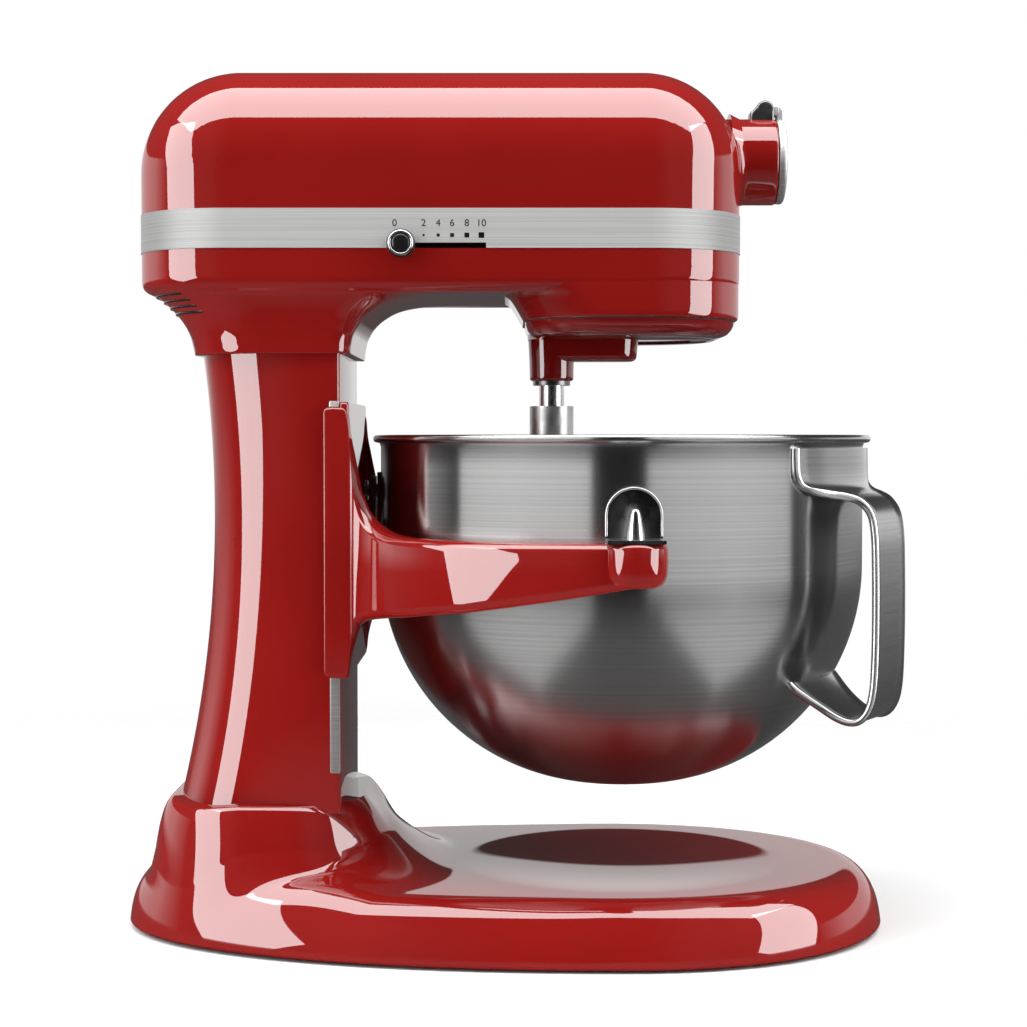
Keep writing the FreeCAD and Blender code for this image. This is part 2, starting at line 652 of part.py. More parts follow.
def lift_crank():
    """A short arm inside the column, 45 degrees above level, with an eye for its pin."""
    span = ("tongue_half + 1", "tongue_half + 1 + lever_thick")
    eye = rod("crank_eye", "y", "lift_shaft_radius + 4", span, ("lift_x", "lift_height"))
    end = rod("crank_end", "y", "crank_pin_radius + 3", span, ("crank_pin_x", "crank_pin_z"))
    web = box("crank_web", ("0", "crank_reach"), span, ("-crank_pin_radius - 2", "crank_pin_radius + 2"))
    web.Placement = Placement(Vector(), Rotation(Vector(0, 1, 0), -45))
    half = "(crank_pin_radius + 2) / sqrt(2)"
    web.setExpression("Placement.Base.x", bound(f"lift_x + {half}"))
    web.setExpression("Placement.Base.z", bound(f"lift_height - {half}"))
    shaft = rod("crank_bore", "y", "lift_shaft_radius", span, ("lift_x", "lift_height"))
    hole = rod("crank_pin_hole", "y", "crank_pin_radius", span, ("crank_pin_x", "crank_pin_z"))
    return keep(cut("lift_crank", join("crank_blank", eye, end, web), shaft, hole))


def crank_pin():
    return keep(rod("crank_pin", "y", "crank_pin_radius", ("-tongue_half", "tongue_half + 1 + lever_thick"),
                    ("crank_pin_x", "crank_pin_z")))


def lift_lever():
    """A flat lever outside the column's left side, upright while the bowl is raised."""
    span = ("lever_face", "lever_face + lever_thick")
    eye = rod("lever_eye", "y", "lift_shaft_radius + 5", span, ("lift_x", "lift_height"))
    end = rod("lever_end", "y", "grip_radius + 1", span, ("lift_x", "lift_height + lever_length"))
    web = box("lever_web", ("lift_x - grip_radius", "lift_x + grip_radius"), span,
              ("lift_height", "lift_height + lever_length"))
    shaft = rod("lever_bore", "y", "lift_shaft_radius", span, ("lift_x", "lift_height"))
    return keep(cut("lift_lever", join("lever_blank", eye, end, web), shaft))


def lever_grip():
    start = "lever_face + lever_thick"
    at = ("lift_x", "lift_height + lever_length")
    stem = rod("grip_stem", "y", "grip_radius", (start, f"{start} + grip_radius * 2.4"), at)
    end = cone("grip_end", "y", ("grip_radius", "grip_radius - 2"),
               (f"{start} + grip_radius * 2.4", f"{start} + grip_radius * 2.4 + 2"), at)
    return keep(join("lever_grip", stem, end))


# Bowl support: carriage with two arms


def bowl_support():
    """A plate on the column's front, hooked into its side grooves, with two curved arms."""
    front = "column_front + moving_gap"
    plate = box("support_plate", (front, f"{front} + plate_thick"), ("-plate_half", "plate_half"),
                ("wing_bottom", "wing_top"))
    pieces = [plate]
    groove_back = "column_front - groove_inset - groove_width + moving_gap"
    for side, sign in (("left", ""), ("right", "-")):
        faces = {"wing": ("column_half + moving_gap", "plate_half"),
                 "hook": ("column_half - groove_depth + moving_gap", "plate_half"),
                 "root": ("plate_half - arm_root_depth", "plate_half")}
        spans = {"wing": (groove_back, f"{front} + 1"),
                 "hook": (groove_back, "column_front - groove_inset - moving_gap"),
                 "root": (f"{front} + 1", f"{front} + plate_thick + arm_root_reach")}
        heights = {"wing": ("wing_bottom", "wing_top"), "hook": ("wing_bottom", "wing_top"),
                   "root": ("arm_root_bottom", "arm_top")}
        for kind, (near, far) in faces.items():
            across = (near, far) if sign == "" else (f"-({far})", f"-({near})")
            pieces.append(box(f"support_{kind}_{side}", spans[kind], across, heights[kind]))
        arm = turned(f"support_arm_{side}", [
            ("arm_inner", "arm_root_bottom"), ("arm_outer", "arm_root_bottom"),
            ("arm_outer", "arm_top"), ("arm_inner", "arm_top"),
        ], at=("bowl_axis", "0"), angle=ARM_SWEEP,
                     start=90 + ARM_SWEEP / 2 if sign == "" else -90 - ARM_SWEEP / 2)
        tip = turned(f"support_tip_{side}", [
            ("0", "arm_tip_bottom"), ("tip_radius - tip_round", "arm_tip_bottom", "tip_round"),
            ("tip_radius", "arm_tip_bottom + tip_round"), ("tip_radius", "arm_top"), ("0", "arm_top"),
        ], at=("bowl_axis", f"{sign}pin_reach"))
        pieces += [arm, tip]
    under = pad("support_under", "XZ_Plane", [
        ("column_front + plate_thick", "arm_root_bottom - 1"),
        ("bowl_axis - tip_radius", "arm_tip_bottom"),
        ("bowl_axis + 2 * tip_radius", "arm_tip_bottom"),
        ("bowl_axis + 2 * tip_radius", "arm_root_bottom - 20"),
        ("column_front + plate_thick", "arm_root_bottom - 20"),
    ], "4 * pin_reach", middle=True)
    inside = rod("support_inside", "z", "arm_inner", ("arm_root_bottom", "arm_top"), ("bowl_axis", "0"))
    arms = cut("support_arms", join("support_blank", *pieces[1:]), under, inside)
    tongue_back = "crank_pin_x - crank_pin_radius - lift_slack - 3"
    tongue = box("support_tongue", (tongue_back, f"{front} + 1"), ("-tongue_half + 1", "tongue_half - 1"),
                 ("crank_pin_z - tongue_rise", "crank_pin_z + tongue_rise"))
    slot = box("tongue_slot",
               ("crank_pin_x - crank_pin_radius - lift_slack",
                "lift_x + crank_reach + crank_pin_radius + lift_slack"),
               ("-tongue_half", "tongue_half"),
               ("crank_pin_z - crank_pin_radius - lift_slack", "crank_pin_z + crank_pin_radius + lift_slack"))
    holes = [
        rod(f"pin_hole_{n}", "z", "pin_radius", ("arm_top - pin_seat", "arm_top + 1"),
            ("bowl_axis", f"{sign}pin_reach"))
        for n, sign in enumerate(("", "-"))
    ]
    return keep(cut("bowl_support", join("support_whole", plate, arms, tongue), slot, *holes))


def locating_pins():
    """A tapered pin standing on each arm's tip."""
    pins = []
    for number, sign in enumerate(("", "-")):
        at = ("bowl_axis", f"{sign}pin_reach")
        stem = rod(f"pin_stem_{number}", "z", "pin_radius", ("arm_top - pin_seat", "arm_top + pin_rise / 3"),
                   at)
        taper = cone(f"pin_taper_{number}", "z", ("pin_radius", "pin_tip"),
                     ("arm_top + pin_rise / 3", "arm_top + pin_rise"), at)
        pins.append(join(f"pin_{number}", stem, taper))
    return keep(group("locating_pins", pins))


def bowl_latch():
    """A spring fork on the carriage that holds the stud behind the bowl."""
    front = "column_front + moving_gap + plate_thick"
    tip = "bowl_axis - bowl_radius - bracket_thick - 1"
    gap = "rear_pin_radius + 0.4"
    foot = ("rear_pin_height - 17", "rear_pin_height - 13.5")
    pieces = [box("latch_foot", (front, tip), (f"-({gap}) - 2", f"{gap} + 2"), foot)]
    pieces.append(box("latch_back", (front, f"{front} + 0.6"), (f"-({gap}) - 2", f"{gap} + 2"),
                      (foot[0], "rear_pin_height - 8")))
    for side, across in (("left", (gap, f"{gap} + 2")), ("right", (f"-({gap}) - 2", f"-({gap})"))):
        pieces.append(box(f"latch_prong_{side}", (f"{tip} - 3", tip), across,
                          (foot[0], "rear_pin_height + 7")))
    return keep(join("bowl_latch", *pieces))


# Bowl


def mixing_bowl():
    """A deep spun bowl with a round bottom and a rolled rim."""
    rim_bottom = "rim_top - rim_bead"
    return keep(turned("mixing_bowl", [
        ("0", "bowl_bottom"), ("bowl_flat", "bowl_bottom", "bowl_turn"),
        ("bowl_radius", "turn_height"), ("bowl_radius", rim_bottom),
        ("bowl_radius + rim_bead", rim_bottom), ("bowl_radius + rim_bead", "rim_top"),
        ("bowl_radius - bowl_wall", "rim_top"),
        ("bowl_radius - bowl_wall", "turn_height", "-(bowl_turn - bowl_wall)"),
        ("bowl_flat", "bowl_bottom + bowl_wall"), ("0", "bowl_bottom + bowl_wall"),
    ], at=("bowl_axis", "0")))


def bowl_handle():
    """A wide strap, folded out from a tab under the rim, down, and back in to the bowl."""
    wall = "bowl_radius + skin_gap"
    inside = "handle_reach - handle_thick"
    turn = "handle_reach - handle_thick - handle_bend"
    under = "handle_high - handle_thick"
    over = "handle_low + handle_thick"
    foot = ("bowl_radius - bowl_turn + sqrt(bowl_turn ^ 2 - (turn_height - handle_low - handle_thick) ^ 2)"
            " + skin_gap")
    strap = pad("bowl_handle", "XZ_Plane", [
        (wall, "tab_top"), (wall, under),
        (turn, under, "-handle_bend"), (inside, f"{under} - handle_bend"),
        (inside, f"{over} + handle_bend", "-handle_bend"), (turn, over),
        (foot, over), (foot, "handle_low"),
        (turn, "handle_low", "handle_bend + handle_thick"), ("handle_reach", f"{over} + handle_bend"),
        ("handle_reach", f"{under} - handle_bend", "handle_bend + handle_thick"), (turn, "handle_high"),
        (f"{wall} + handle_thick", "handle_high"), (f"{wall} + handle_thick", "tab_top"),
    ], "2 * handle_half", middle=True)
    strap.Placement = Placement(Vector(), Rotation(Vector(0, 0, 1), -val("handle_angle")))
    strap.setExpression("Placement.Base.x", bound("bowl_axis"))
    return keep(strap)


def bowl_side_brackets():
    """On each side an arched plate with a flange that sits on the arm, over its pin."""
    brackets = []
    wall = "bowl_radius + skin_gap"
    for number, sign in enumerate(("", "-")):
        def across(near, far):
            return (near, far) if sign == "" else (f"-({far})", f"-({near})")

        face = across(wall, f"{wall} + bracket_thick")
        sides = ("bowl_axis - bracket_half", "bowl_axis + bracket_half")
        foot = ("arm_top + seat_gap", "arm_top + seat_gap + bracket_thick")
        plate = box(f"bracket_plate_{number}", sides, face, (foot[0], "bracket_top - bracket_half"))
        arch = rod(f"bracket_arch_{number}", "y", "bracket_half", face,
                   ("bowl_axis", "bracket_top - bracket_half"))
        flange = box(f"bracket_flange_{number}", sides, across(wall, "pin_reach + bracket_half"), foot)
        hole = rod(f"bracket_hole_{number}", "z", "pin_radius + moving_gap", foot,
                   ("bowl_axis", f"{sign}pin_reach"))
        brackets.append(cut(f"bracket_{number}", join(f"bracket_blank_{number}", plate, arch, flange), hole))
    return keep(group("bowl_side_brackets", brackets))


def bracket_rivets():
    """Three rivet heads on each side bracket."""
    rivets = []
    for number, sign in enumerate(("", "-")):
        low, high = "bowl_radius + skin_gap + bracket_thick", "bowl_radius + skin_gap + bracket_thick + 1"
        span = (low, high) if sign == "" else (f"-({high})", f"-({low})")
        for spot, (x, z) in enumerate((("0", "bracket_top - 4"),
                                       ("bracket_half - 4", "bracket_top - bracket_half"),
                                       ("4 - bracket_half", "bracket_top - bracket_half"))):
            rivets.append(rod(f"rivet_{number}{spot}", "y", "small_screw", span, (f"bowl_axis + {x}", z)))
    return keep(group("bracket_rivets", rivets))


def bowl_rear_bracket():
    """A small plate behind the bowl with a headed stud for the latch."""
    wall = "bowl_axis - bowl_radius - skin_gap"
    plate = box("rear_plate", (f"{wall} - bracket_thick", wall), ("-8", "8"),
                ("rear_pin_height - 9", "rear_pin_height + 9"))
    stud = rod("rear_stud", "x", "rear_pin_radius",
               (f"{wall} - bracket_thick - 5", f"{wall} - bracket_thick"),
               ("0", "rear_pin_height"))
    head = rod("rear_stud_head", "x", "rear_pin_radius + 2",
               (f"{wall} - bracket_thick - 6.6", f"{wall} - bracket_thick - 5"), ("0", "rear_pin_height"))
    return keep(join("bowl_rear_bracket", plate, stud, head))


# Head: housings, trim band, gearcase


def pan(name, inset, low, high):
    """The head's plan as a slab, drawn in by inset."""
    return pad(name, "XY_Plane", plan(f"head_back + {inset}", f"head_front - {inset}", f"head_half - {inset}",
                                      f"(head_round - {inset})"), f"{high} - ({low})", level=low)


def dome(name, inset):
    """The head's rounded upper half, drawn in by inset, open at the trim band's top."""
    body = pad(name, "XZ_Plane", [
        (f"head_front - {inset}", "band_top"),
        (f"head_front - {inset}", "head_top - head_front_arc", f"head_front_arc - {inset}"),
        ("head_front - head_front_arc", f"head_top - {inset}"),
        ("head_back + head_back_arc", f"head_top - {inset}", f"head_back_arc - {inset}"),
        (f"head_back + {inset}", "head_top - head_back_arc"),
        (f"head_back + {inset}", "band_top"),
    ], f"2 * (head_half - {inset})", middle=True)
    side = val(f"head_half - {inset}")
    low = val("band_top")

    def at_side(edge):
        return all(abs(abs(vertex.Point.y) - side) < 0.01 for vertex in edge.Vertexes)

    return round_edges(body, f"head_round - {inset}",
                       lambda edge: at_side(edge) and edge.BoundBox.ZMax > low + 1)


def neck(name):
    """The flare from the column's top up into the head's floor, by sections."""
    # spread behind (as a share of the head's tail), ahead and beside, at shares of the neck's height
    spread = ((0, 0, 2, 0), (0.3, 0.08, 3.5, 0.5), (0.55, 0.24, 8, 1.5), (0.8, 0.5, 18, 3), (1, 0.8, 34, 4))
    low, high = val("column_top"), val("inner_floor - 0.5")
    back, front = val("column_back - neck_lip"), val("column_front + neck_lip")
    half, tail = val("column_half + neck_lip"), val("head_tail")
    return feature(name, Part.makeLoft([
        rounded(back - behind * tail, front + ahead, half + beside, val("column_back_round") + beside, 8 + ahead / 2,
                low + (high - low) * share)
        for share, behind, ahead, beside in spread
    ], True))


def lower_housing():
    """The head's floor with its neck, gearcase ring, shaft boss and rear air slots."""
    floor = val("head_floor")

    def at_floor(level):
        return lambda edge: edge.BoundBox.ZMax < level + 0.01

    shell = round_edges(pan("floor_shell", "0", "head_floor", "band_bottom"), "floor_round", at_floor(floor))
    hollow = round_edges(pan("floor_hollow", "floor_wall", "inner_floor", "band_bottom"),
                         "floor_round - floor_wall", at_floor(val("inner_floor")))
    case = rod("case_wall", "z", "case_radius", ("case_bottom", "head_floor + floor_round"),
               ("bowl_axis", "0"))
    case_hollow = rod("case_hollow", "z", "ring_outer", ("case_bottom - 1", "head_floor"), ("bowl_axis", "0"))
    neck_hollow = core_room("neck_hollow", "column_top + neck_floor", "inner_floor + 1")
    slots = [
        box(f"air_slot_{n}", ("head_back", "column_back + column_wall + 1"),
            ("-column_half * 0.7", "column_half * 0.7"),
            (f"inner_floor - {n} * slot_pitch - slot_pitch / 2", f"inner_floor - {n} * slot_pitch"))
        for n in (1, 2, 3)
    ]
    holes = [
        rod(f"neck_hole_{n}", "z", "large_screw + screw_gap",
            ("column_top - 1", "column_top + neck_floor + 1"), place)
        for n, place in enumerate(column_screw_places())
    ]
    holes.append(rod("neck_wire_hole", "z", "large_screw * 2",
                     ("column_top - 1", "column_top + neck_floor + 1"),
                     ("(column_back + column_front) / 2", "0")))
    holes += [
        rod(f"cover_hole_{n}", "z", "small_screw + screw_gap",
            ("case_bottom - 1", "case_bottom + cover_screw_length"),
            place)
        for n, place in enumerate(cover_screw_places())
    ]
    open_shell = cut("floor_open", join("floor_blank", shell, case, neck("floor_neck")),
                     hollow, case_hollow, neck_hollow, *slots, *holes)
    # pads with a sunk seat for the screws that hold the head's two halves together
    pads, bores = [], []
    for side, sign in (("left", ""), ("right", "-")):
        place = ("housing_screw_x", f"{sign}housing_screw_y")
        pads.append(rod(f"housing_pad_{side}", "z", "housing_screw * head_factor + floor_wall",
                        ("head_floor", "inner_floor + housing_screw_sink"), place))
        bores.append(rod(f"housing_hole_{side}", "z", "housing_screw + screw_gap",
                         ("head_floor - 1", "inner_floor + housing_screw_sink + 1"), place))
        bores.append(rod(f"housing_sink_{side}", "z", "housing_screw * head_factor + screw_gap",
                         ("head_floor - 1", "head_floor + housing_screw_sink"), place))
    boss_top = "inner_floor + shaft_boss"
    at = ("bowl_axis", "0")
    boss = rod("shaft_boss_wall", "z", "centre_shaft_radius + bush_wall + 4", ("head_floor", boss_top), at)
    seat = "centre_shaft_radius + bush_wall"
    bores += [
        rod("boss_bore", "z", "centre_shaft_radius + 1", ("head_floor - 1", f"{boss_top} + 1"), at),
        rod("boss_seat_low", "z", seat, ("head_floor - 1", "head_floor + bush_length"), at),
        rod("boss_seat_high", "z", seat, (f"{boss_top} - bush_length", f"{boss_top} + 1"), at),
    ]
    return keep(cut("lower_housing", join("floor_with_boss", open_shell, boss, *pads), *bores))


def upper_housing():
    """The head's cover: a dome over a skirt that carries the trim band, with the hub's nose."""
    skirt_in = "(band_thick + head_wall)"
    shell = join("cover_blank", dome("cover_dome", "0"),
                 pan("cover_skirt", "band_thick", "band_bottom", "band_top"))
    open_shell = cut("cover_open", shell, dome("cover_dome_hollow", "head_wall"),
                     pan("cover_skirt_hollow", skirt_in, "band_bottom - 1", "band_top + 1"))
    at = ("0", "hub_height")
    nose = rod("nose_wall", "x", "nose_radius", ("nose_root", "nose_end"), at)
    flare = cone("nose_flare", "x", ("nose_radius + nose_flare", "nose_radius"),
                 ("head_front - head_wall", "head_front + nose_flare"), at)
    pieces = [open_shell, nose, flare]
    for side, sign in (("left", ""), ("right", "-")):
        y = f"{sign}housing_screw_y"
        pieces.append(rod(f"cover_boss_{side}", "z", "housing_screw + 3",
                          ("inner_floor + housing_screw_sink", "band_top + 8"), ("housing_screw_x", y)))
        web = (y, "head_half - band_thick - 1") if sign == "" else ("-(head_half - band_thick - 1)", y)
        pieces.append(box(f"cover_web_{side}", ("housing_screw_x - 2", "housing_screw_x + 2"), web,
                          ("band_bottom + slot_height", "band_top + 8")))
    bores = [
        rod("lay_seat", "x", "lay_shaft_radius + bush_wall", ("nose_root - 1", "nose_root + bush_length"),
            at),
        rod("socket_room", "x", "socket_radius + 1", ("nose_root + bush_length", "sleeve_start"), at),
        rod("sleeve_seat", "x", "hub_bore + sleeve_wall", ("sleeve_start", "nose_end + 1"), at),
        rod("knob_hole", "y", "knob_stem_radius + running_gap", ("0", "nose_radius + 1"),
            ("hub_knob_x", "hub_height")),
    ]
    bores += [
        rod(f"cover_boss_hole_{n}", "z", "housing_screw + screw_gap",
            ("inner_floor", "inner_floor + housing_screw_sink + housing_screw_length"),
            ("housing_screw_x", f"{sign}housing_screw_y"))
        for n, sign in enumerate(("", "-"))
    ]
    return keep(cut("upper_housing", join("cover_with_nose", *pieces), *bores, speed_slot("cover_slot")))


def speed_slot(name):
    """The room for the speed lever's stem, along the lower edge of the trim band."""
    return box(name, ("knob_x - stem_half - 1", "knob_x + speed_travel + stem_half + 1"),
               ("-head_half - 2", "-head_half + band_thick + head_wall + 1"),
               ("band_bottom - 1", "band_bottom + slot_height"))


def trim_band():
    """A thin metal band round the head, notched for the speed lever."""
    outer = pan("band_outer", "(0 - band_proud)", "band_bottom", "band_top")
    inner = pan("band_inner", "band_thick", "band_bottom - 1", "band_top + 1")
    return keep(cut("trim_band", outer, inner, speed_slot("band_slot")))


def housing_screws():
    return keep(group("housing_screws", [
        screw(f"housing_screw_{n}",
              ("housing_screw_x", f"{sign}housing_screw_y", "head_floor + housing_screw_sink"),
              "housing_screw", "below", "floor_wall + housing_screw_length", "housing_screw")
        for n, sign in enumerate(("", "-"))
    ]))


def cover_screw_places():
    """Screws on a circle round the bowl's axis."""
    count = 5
    places = []
    for number in range(count):
        angle = 2 * math.pi * (number + 0.5) / count
        places.append((f"bowl_axis + cover_screw_circle * {math.cos(angle):.6f}",
                       f"cover_screw_circle * {math.sin(angle):.6f}"))
    return places


def gearcase_cover():
    """The ring that closes the gearcase round the turning disc."""
    opening = "carrier_disc + carrier_gap"
    seam = "case_bottom - gasket_thick"
    ring = turned("cover_ring", [
        (opening, "cover_bottom"), ("cover_radius - cover_round", "cover_bottom", "cover_round"),
        ("cover_radius", "cover_bottom + cover_round"), ("cover_radius", seam), (opening, seam),
    ], at=("bowl_axis", "0"))
    holes = []
    for number, at in enumerate(cover_screw_places()):
        holes.append(rod(f"ring_hole_{number}", "z", "small_screw + screw_gap",
                         ("cover_bottom - 1", f"{seam} + 1"), at))
        holes.append(rod(f"ring_sink_{number}", "z", "small_screw * head_factor + screw_gap",
                         ("cover_bottom - 1", "cover_bottom + cover_screw_sink"), at))
    return keep(cut("gearcase_cover", ring, *holes))


def gearcase_gasket():
    seam = ("case_bottom - gasket_thick", "case_bottom")
    at = ("bowl_axis", "0")
    holes = [
        rod(f"gasket_hole_{n}", "z", "small_screw + screw_gap", seam, place)
        for n, place in enumerate(cover_screw_places())
    ]
    return keep(cut("gearcase_gasket", rod("gasket_disc", "z", "cover_radius", seam, at),
                    rod("gasket_opening", "z", "ring_outer", seam, at), *holes))


def cover_screws():
    return keep(group("cover_screws", [
        screw(f"cover_screw_{n}", (x, y, "cover_bottom + cover_screw_sink"), "small_screw", "below",
              "case_bottom - cover_bottom - cover_screw_sink + cover_screw_length", "small_screw")
        for n, (x, y) in enumerate(cover_screw_places())
    ]))


# Drive: planetary, horizontal shaft, motor


def bearing_bushes():
    """Plain bushes for the centre shaft, the horizontal shaft and the motor."""
    boss_top = "inner_floor + shaft_boss"
    runs = (
        ("centre_low", "z", "centre_shaft_radius", ("head_floor", "head_floor + bush_length"),
         ("bowl_axis", "0")),
        ("centre_high", "z", "centre_shaft_radius", (f"{boss_top} - bush_length", boss_top),
         ("bowl_axis", "0")),
        ("lay_back", "x", "lay_shaft_radius", ("bracket_x - bush_length", "bracket_x"), ("0", "hub_height")),
        ("lay_front", "x", "lay_shaft_radius", ("nose_root", "nose_root + bush_length"), ("0", "hub_height")),
        ("motor_front", "x", "motor_shaft_radius", ("motor_front", "motor_front + bush_length"),
         ("0", "motor_height")),
        ("motor_back", "x", "motor_shaft_radius", ("motor_back - bush_length", "motor_back"),
         ("0", "motor_height")),
    )
    bushes = []
    for name, axis, radius, span, at in runs:
        outer = rod(f"bush_{name}_outer", axis, f"{radius} + bush_wall", span, at)
        bushes.append(cut(f"bush_{name}", outer, rod(f"bush_{name}_bore", axis, f"{radius} + running_gap",
                                                     span, at)))
    return keep(group("bearing_bushes", bushes))


def ring_gear():
    """The fixed inner-toothed ring that the planet pinion rolls in."""
    teeth = int(val("ring_teeth"))
    pitch = val("orbit * ring_teeth / (ring_teeth - planet_teeth)")
    low, high = val("case_bottom + 1.5"), val("head_floor")
    outer = Part.makeCylinder(val("ring_outer"), high - low)
    inner = Part.Face(tooth_ring(teeth, pitch, math.pi + math.pi / teeth, True)).extrude(Vector(0, 0,
                                                                                                high - low))
    return keep(feature("ring_gear", outer.cut(inner),
                        Placement(Vector(val("bowl_axis"), 0, low), Rotation())))


def planetary_carrier():
    """The turning disc under the gearcase, with an arm and a boss for the beater's shaft."""
    hub, out = ("bowl_axis", "0"), ("bowl_axis - orbit", "0")
    disc_bottom = "cover_bottom + moving_gap"
    pieces = [
        rod("carrier_plate", "z", "carrier_disc", (disc_bottom, "carrier_top"), hub),
        rod("carrier_hub", "z", "carrier_arm_half", ("carrier_arm_bottom", "carrier_top"), hub),
        rod("carrier_boss", "z", "boss_radius", ("boss_bottom", "carrier_top"), out),
        box("carrier_arm", ("bowl_axis - orbit", "bowl_axis"), ("-carrier_arm_half", "carrier_arm_half"),
            ("carrier_arm_bottom", "carrier_top")),
    ]
    bores = [
        rod("carrier_shaft_hole", "z", "centre_shaft_radius", ("carrier_arm_bottom + 2", "carrier_top + 1"),
            hub),
        rod("carrier_bush_hole", "z", "beater_shaft_radius + bush_wall",
            ("boss_bottom - 1", "carrier_top + 1"), out),
    ]
    return keep(cut("planetary_carrier", join("carrier_blank", *pieces), *bores))


def centre_shaft():
    return keep(rod("centre_shaft", "z", "centre_shaft_radius",
                    ("carrier_arm_bottom + 2", "hub_height - lay_shaft_radius - 3"),
                    ("bowl_axis", "0")))


def bevel_sizes():
    """Pitch radii of the bevel gear and its pinion."""
    return val("bevel_radius"), val("bevel_radius * bevel_pinion_teeth / bevel_teeth")


def centre_bevel_gear():
    """The large bevel gear at the top of the centre shaft, facing up."""
    large, small = bevel_sizes()
    teeth = int(val("bevel_teeth"))
    shape = bevel_gear(teeth, large, small, val("bevel_face"), math.pi + math.pi / teeth, val("bush_length"),
                       val("centre_shaft_radius"))
    place = Placement(Vector(val("bowl_axis"), 0, val("hub_height")), Rotation(Vector(1, 0, 0), 180))
    return keep(feature("centre_bevel_gear", shape, place))


def bevel_pinion():
    """The small bevel pinion on the horizontal shaft, behind the centre shaft."""
    large, small = bevel_sizes()
    shape = bevel_gear(int(val("bevel_pinion_teeth")), small, large, val("bevel_face"), math.pi,
                       val("bush_length"),
                       val("lay_shaft_radius"))
    place = Placement(Vector(val("bowl_axis"), 0, val("hub_height")), Rotation(Vector(0, 1, 0), -90))
    return keep(feature("bevel_pinion", shape, place))


def beater_bush():
    at = ("bowl_axis - orbit", "0")
    span = ("boss_bottom - boss_lip", "carrier_top")
    return keep(cut("beater_bush", rod("beater_bush_outer", "z", "beater_shaft_radius + bush_wall", span, at),
                    rod("beater_bush_bore", "z", "beater_shaft_radius + running_gap", span, at)))


def beater_shaft():
    at = ("bowl_axis - orbit", "0")
    shaft = rod("beater_shaft_rod", "z", "beater_shaft_radius",
                ("collar_top_height - collar_length", "head_floor - 1"), at)
    return keep(cut("beater_shaft", shaft, beater_pin_rod("shaft_pin_hole")))


def planet_pinion():
    """The pinion on top of the beater's shaft."""
    pitch = val("orbit * planet_teeth / (ring_teeth - planet_teeth)")
    shape = spur_gear(int(val("planet_teeth")), pitch, math.pi, val("planet_face"),
                      val("beater_shaft_radius"))
    place = Placement(Vector(val("bowl_axis - orbit"), 0, val("head_floor - 1 - planet_face")), Rotation())
    return keep(feature("planet_pinion", shape, place))


def beater_pin_rod(name):
    return rod(name, "y", "beater_pin_radius", ("-beater_collar + 0.5", "beater_collar - 0.5"),
               ("bowl_axis - orbit", "collar_top_height - collar_length / 2"))


def beater_pin():
    return keep(beater_pin_rod("beater_pin"))


def beater_curve(across, inset):
    """Height of the beater's edge at a distance from its shaft: the bowl's round, drawn in."""
    return (f"turn_height + beater_lift - sqrt((bowl_turn - bowl_wall - beater_gap - {inset}) ^ 2"
            f" - ({across} + orbit - bowl_radius + bowl_turn) ^ 2)")


def flat_beater():
    """A flat open frame that follows the bowl, on a collar."""
    turn = "bowl_turn - bowl_wall - beater_gap"
    frame = pad("beater_frame", "XZ_Plane", [
        ("beater_foot", beater_curve("beater_foot", "0"), turn),
        ("beater_half", beater_curve("beater_half", "0")), ("beater_half", "beater_shoulder"),
        ("beater_collar", "collar_top_height - collar_length"),
        ("-beater_collar", "collar_top_height - collar_length"),
        ("-beater_half", "beater_shoulder"), ("-beater_half", beater_curve("beater_half", "0"), turn),
        ("-beater_foot", beater_curve("beater_foot", "0")),
    ], "beater_thick", middle=True)
    inner = "(beater_half - beater_bar)"
    top = "beater_shoulder - beater_bar"
    windows = []
    for side, sign in (("front", ""), ("back", "-")):
        low = (f"{sign}beater_bar / 2", beater_curve("beater_bar / 2", "beater_bar"))
        high = (f"{sign}{inner}", beater_curve(inner, "beater_bar"))
        round_ = f"{turn} - beater_bar" if sign == "" else f"-({turn} - beater_bar)"
        windows.append(pad(f"beater_window_{side}", "XZ_Plane", [
            (*low, round_), high, (f"{sign}{inner}", top),
            (f"{sign}beater_bar / 2", f"{top} + beater_half / 4"),
        ], "beater_thick + 2", middle=True))
    for body in (frame, *windows):
        body.setExpression("Placement.Base.x", bound("bowl_axis - orbit"))
    at = ("bowl_axis - orbit", "0")
    collar = rod("beater_collar_blank", "z", "beater_collar",
                 ("collar_top_height - collar_length - 6", "collar_top_height"), at)
    bore = rod("beater_collar_bore", "z", "beater_shaft_radius",
               ("collar_top_height - collar_length", "collar_top_height + 1"), at)
    return keep(cut("flat_beater", join("beater_blank", cut("beater_open", frame, *windows), collar), bore,
                    beater_pin_rod("collar_pin_hole")))


def gear_bracket():
    """A plate on the head's floor that holds the rear bush of the horizontal shaft."""
    seat = "lay_shaft_radius + bush_wall"
    plate = box("gear_bracket_plate", ("bracket_x - bush_length", "bracket_x"),
                ("-bracket_width / 2", "bracket_width / 2"),
                ("inner_floor", f"hub_height + {seat} + 5"))
    return keep(cut("gear_bracket", plate, rod("gear_bracket_bore", "x", seat,
                                               ("bracket_x - bush_length", "bracket_x"),
                                               ("0", "hub_height"))))


def lay_shaft():
    return keep(rod("lay_shaft", "x", "lay_shaft_radius", ("spur_back - 2", "nose_root + bush_length + 1"),
                    ("0", "hub_height")))


def lay_spur_gear():
    """The large spur gear behind the bracket, driven from below by the motor's pinion."""
    teeth = int(val("spur_teeth"))
    shape = spur_gear(teeth, val("spur_module * spur_teeth / 2"), math.pi / teeth, val("spur_face"),
                      val("lay_shaft_radius"))
    return keep(feature("lay_spur_gear", shape, Placement(Vector(val("spur_back"), 0, val("hub_height")),
                                                          TURNS["x"])))


